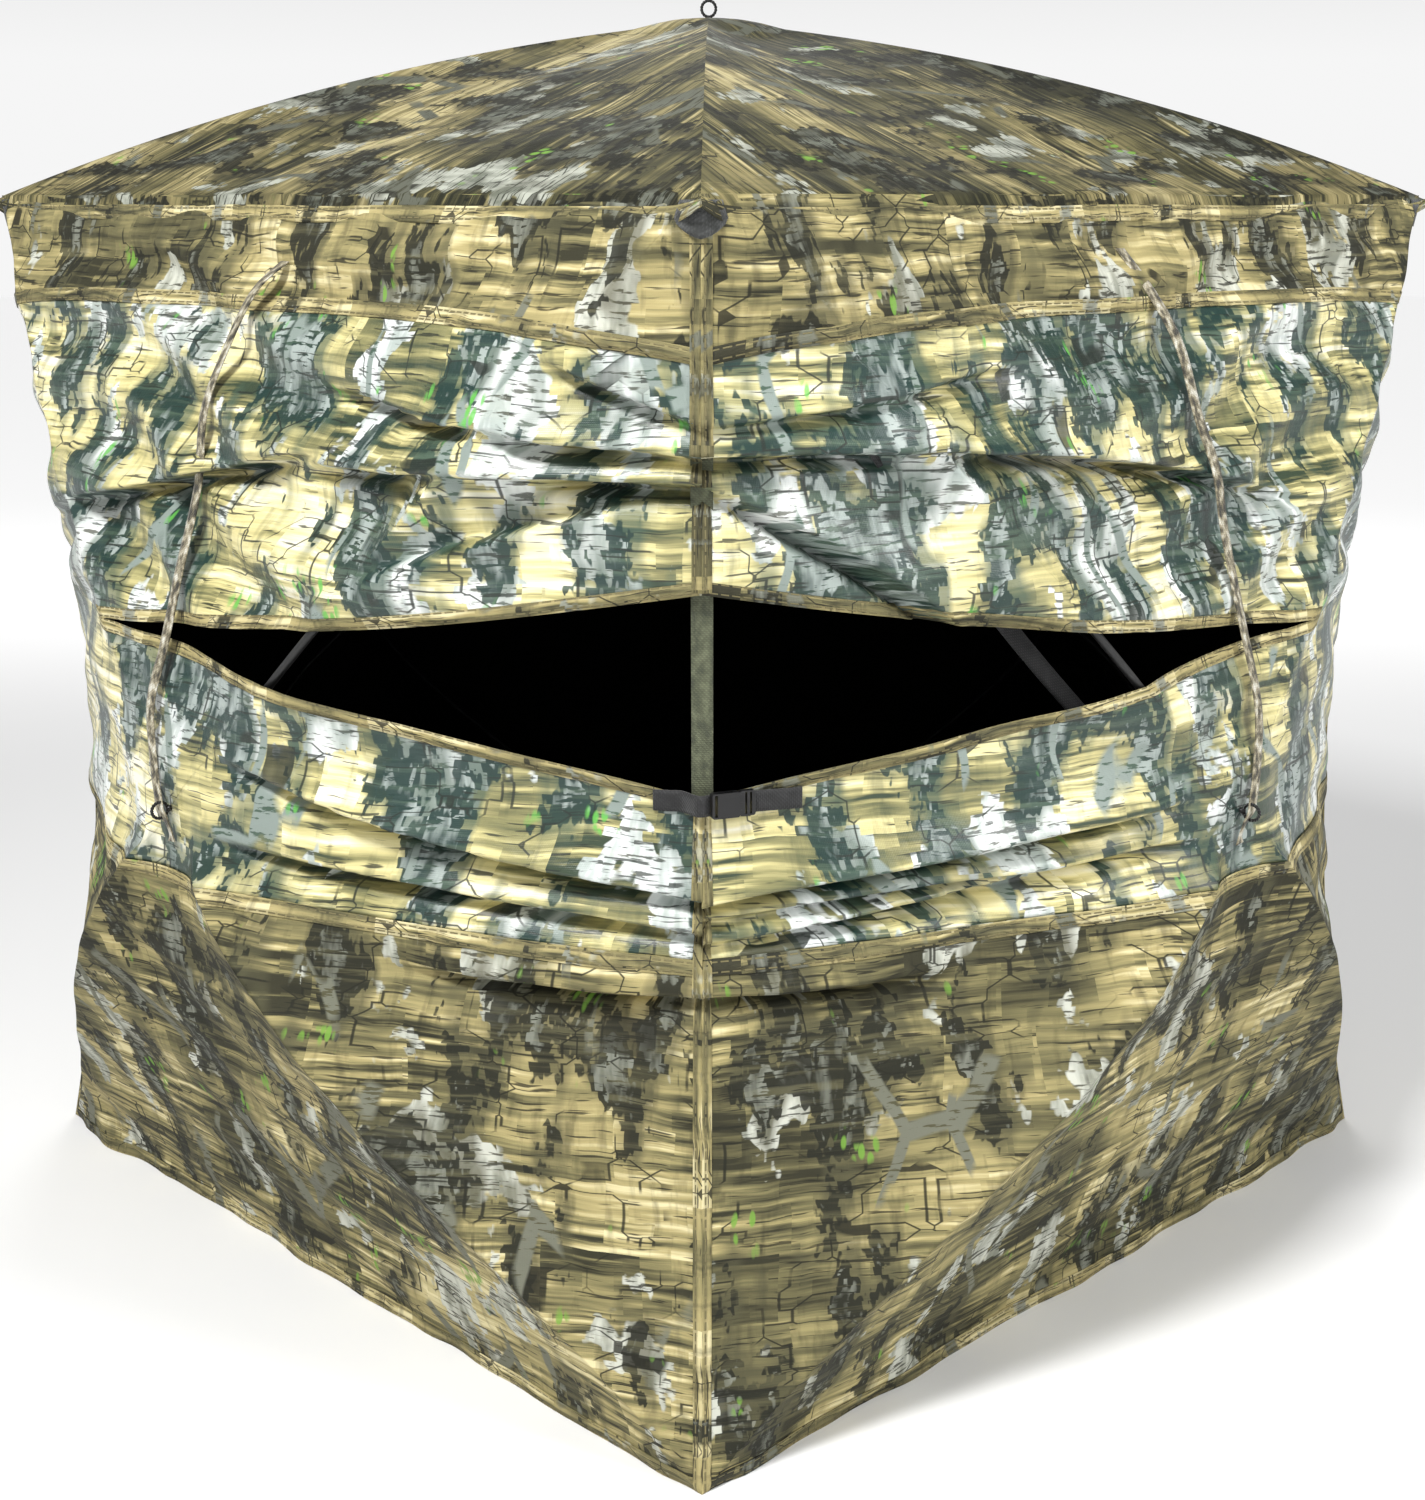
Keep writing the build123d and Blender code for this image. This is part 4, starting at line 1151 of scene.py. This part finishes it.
# The door's zip: a woven tape round the door, with its coil along the middle
zipWay = []
half, cut = doorPlan["tapeWide"] / 2, doorPlan["corner"]
grow = 0.008
footHalf, footHeight = doorPlan["halfBottom"] + grow * 1.3, doorPlan["bottom"] - grow
topHalf, topHeight = doorPlan["halfTop"] + grow * 0.7, doorPlan["top"] + grow
corners = [Vector((-footHalf, footHeight, 0)), Vector((footHalf, footHeight, 0)),
           Vector((topHalf, topHeight, 0)), Vector((-topHalf, topHeight, 0))]
for k, corner in enumerate(corners):
    before, after = (corners[k - 1] - corner).normalized(), (corners[(k + 1) % 4] - corner).normalized()
    for n in range(7):
        t = n / 6
        zipWay.append(mix(mix(corner + before * cut, corner, t), mix(corner, corner + after * cut, t), t))
    follow = corners[(k + 1) % 4]
    length = (follow - corner).length - 2 * cut
    pieces = max(2, round(length / 0.014))
    zipWay += [mix(corner + after * cut, follow - after * cut, n / pieces) for n in range(1, pieces)]
draft = bmesh.new()
uv = draft.loops.layers.uv.new("cloth")
rows, run = [], 0.0
for k, here in enumerate(zipWay):
    way = (zipWay[(k + 1) % len(zipWay)] - zipWay[k - 1]).normalized()
    out = Vector((way.y, -way.x, 0))
    run += (here - zipWay[k - 1]).length if k else 0.0
    spots = [here + out * mix(-half, half, n / 4) for n in range(5)]
    rows.append(([draft.verts.new(wallSpot("back", spot.x, spot.y, 0.0030)) for spot in spots], run))
for k in range(len(rows)):
    (first, low), (second, high) = rows[k], rows[(k + 1) % len(rows)]
    for n in range(4):
        face = draft.faces.new((first[n], second[n], second[n + 1], first[n + 1]))
        face.smooth = True
        for loop, (u, v) in zip(face.loops, ((low, n), (high, n), (high, n + 1), (low, n + 1))):
            loop[uv].uv = (u if high > low else low + 0.014 * (u != low), v / 4 * half * 2)
bmesh.ops.recalc_face_normals(draft, faces=draft.faces)
if sum(face.normal.y for face in draft.faces) < 0:
    bmesh.ops.reverse_faces(draft, faces=draft.faces)
zipTape = meshFrom(draft, "door_zip_tape", ["zipTape"], 0.0008)
blendPetal(zipTape, "back", "bottom")
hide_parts("door_zip")
draft = bmesh.new()
for row in range(2):
    coil = []
    count = len(zipWay) * 6
    for k in range(count):
        here = zipWay[k // 6].lerp(zipWay[(k // 6 + 1) % len(zipWay)], (k % 6) / 6)
        way = (zipWay[(k // 6 + 1) % len(zipWay)] - zipWay[k // 6]).normalized()
        side = 0.0016 * math.cos(math.pi * (k + row))  # the coil is drawn as a zigzag
        rise = 0.0044 + 0.0007 * (k % 2)
        coil.append(wallSpot("back", here.x + way.y * side, here.y - way.x * side, rise))
    addTube(draft, coil, 0.0008, 5, closed=True)
coil = meshFrom(draft, "door_zip_coil", ["acetal"])
blendPetal(coil, "back", "bottom")
print("door zip sewn")

# A patch of grey cloth is folded round each top corner, over the rods' pockets, and the
# valance's end lies over it as a pointed flap
for quarter in range(4):
    draft = bmesh.new()
    uv = draft.loops.layers.uv.new("cloth")
    grid = []
    wide, tall = 0.027, 0.040
    for n in range(17):
        share = mix(-1, 1, n / 16)
        point = 1 - abs(share)
        column = []
        for k in range(9):
            drop = (k / 8) * tall * (0.45 + 0.55 * point ** 0.6)
            height = eave - 0.006 - drop
            away = abs(share) * wide
            wall = ("front", "right", "back", "left")[(quarter + (share > 0)) % 4]
            along = (halfWidth - away) * (1 if share <= 0 else -1)
            spot = wallSpot(wall, along, height, mix(0.0050, 0.0022, smooth(abs(share), 0.35, 0.85)))
            column.append((draft.verts.new(spot), (share * wide, drop)))
        grid.append(column)
    for first, second in zip(grid, grid[1:]):
        for k in range(8):
            ring = (first[k + 1], second[k + 1], second[k], first[k])
            face = draft.faces.new([vert for vert, spot in ring])
            face.smooth = True
            for loop, (vert, spot) in zip(face.loops, ring):
                loop[uv].uv = spot
    patch = meshFrom(draft, f"corner_patch_{quarter + 1}", ["greyCloth"], 0.0016)
    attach(patch, "tent")
    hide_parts("corner_patches")
print("corner patches made")

# Floor, light and camera
floorMesh = bpy.data.meshes.new("studio_floor")
floorMesh.from_pydata([(-30, -30, 0), (30, -30, 0), (30, 30, 0), (-30, 30, 0)], [], [(0, 1, 2, 3)])
floor = bpy.data.objects.new("studio_floor", floorMesh)
bpy.context.scene.collection.objects.link(floor)
floorMaterial, tree, shader = startMaterial("paleStudioFloor")
shader.inputs["Base Color"].default_value = colour("#f4f4f4")
shader.inputs["Roughness"].default_value = 0.9
# the floor glows further out, as a studio's lit backdrop does, so it runs into the white behind
place = addNode(tree, "TexCoord").outputs["Object"]
spread = addNode(tree, "VectorMath", {0: place}, operation="LENGTH").outputs["Value"]
values = {"Value": spread, "From Min": 2.6, "From Max": 6.5, "To Max": 0.62}
glow = addNode(tree, "MapRange", values, interpolation_type="SMOOTHSTEP")
shader.inputs["Emission Color"].default_value = (1, 1, 1, 1)
tree.links.new(glow.outputs[0], shader.inputs["Emission Strength"])
floor.data.materials.append(floorMaterial)
floor.location.z = -0.0005
floor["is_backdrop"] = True

world = bpy.data.worlds.new("studioWorld")
bpy.context.scene.world = world
world.use_nodes = True
tree = world.node_tree
# white round the horizon and dimmer overhead, like a cove with one soft box over it
height = addNode(tree, "SeparateXYZ", {0: addNode(tree, "TexCoord").outputs["Generated"]}).outputs[2]
glow = addNode(tree, "ValToRGB", {"Fac": height}, stops=[(0.06, (1, 1, 1, 1)), (0.40, (0.26, 0.26, 0.26, 1))])
tree.links.new(glow.outputs[0], tree.nodes["Background"].inputs["Color"])
tree.nodes["Background"].inputs["Strength"].default_value = 0.92

view = dict(azimuth=45.43, distance=3.309, height=1.512, down=14.26, lens=50.47, shift=(0.00253, -0.01067))
turn = math.radians(view["azimuth"])
lamps = {
    "key": dict(place=(1.3, -3.4, 4.6), size=0.9, power=285, aim=(0.3, -0.4, 0.9)),
    "side": dict(place=(4.4, 0.4, 3.0), size=1.6, power=110, aim=(0.5, -0.2, 0.8)),
    "rear": dict(place=(-3.5, 3.5, 4.0), size=2.5, power=110, aim=(0, 0, 0.8)),
}
for name, plan in lamps.items():
    lamp = bpy.data.lights.new(name + "_lamp", "AREA")
    lamp.size = plan["size"]
    lamp.energy = plan["power"]
    holder = bpy.data.objects.new(name + "_lamp", lamp)
    holder.location = plan["place"]
    holder.rotation_euler = (Vector(plan["aim"]) - holder.location).to_track_quat("-Z", "Y").to_euler()
    bpy.context.scene.collection.objects.link(holder)

camera = bpy.data.objects.new("camera", bpy.data.cameras.new("camera"))
bpy.context.scene.collection.objects.link(camera)
camera.location = (view["distance"] * math.sin(turn), -view["distance"] * math.cos(turn), view["height"])
camera.rotation_euler = (math.radians(90 - view["down"]), 0, turn)
camera.data.lens = view["lens"]
camera.data.shift_x, camera.data.shift_y = view["shift"]
camera.data.clip_start = 0.05
camera.data.clip_end = 80
bpy.context.scene.camera = camera
bpy.context.scene.view_settings.view_transform = "Standard"
print("camera and light set")

low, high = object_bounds()
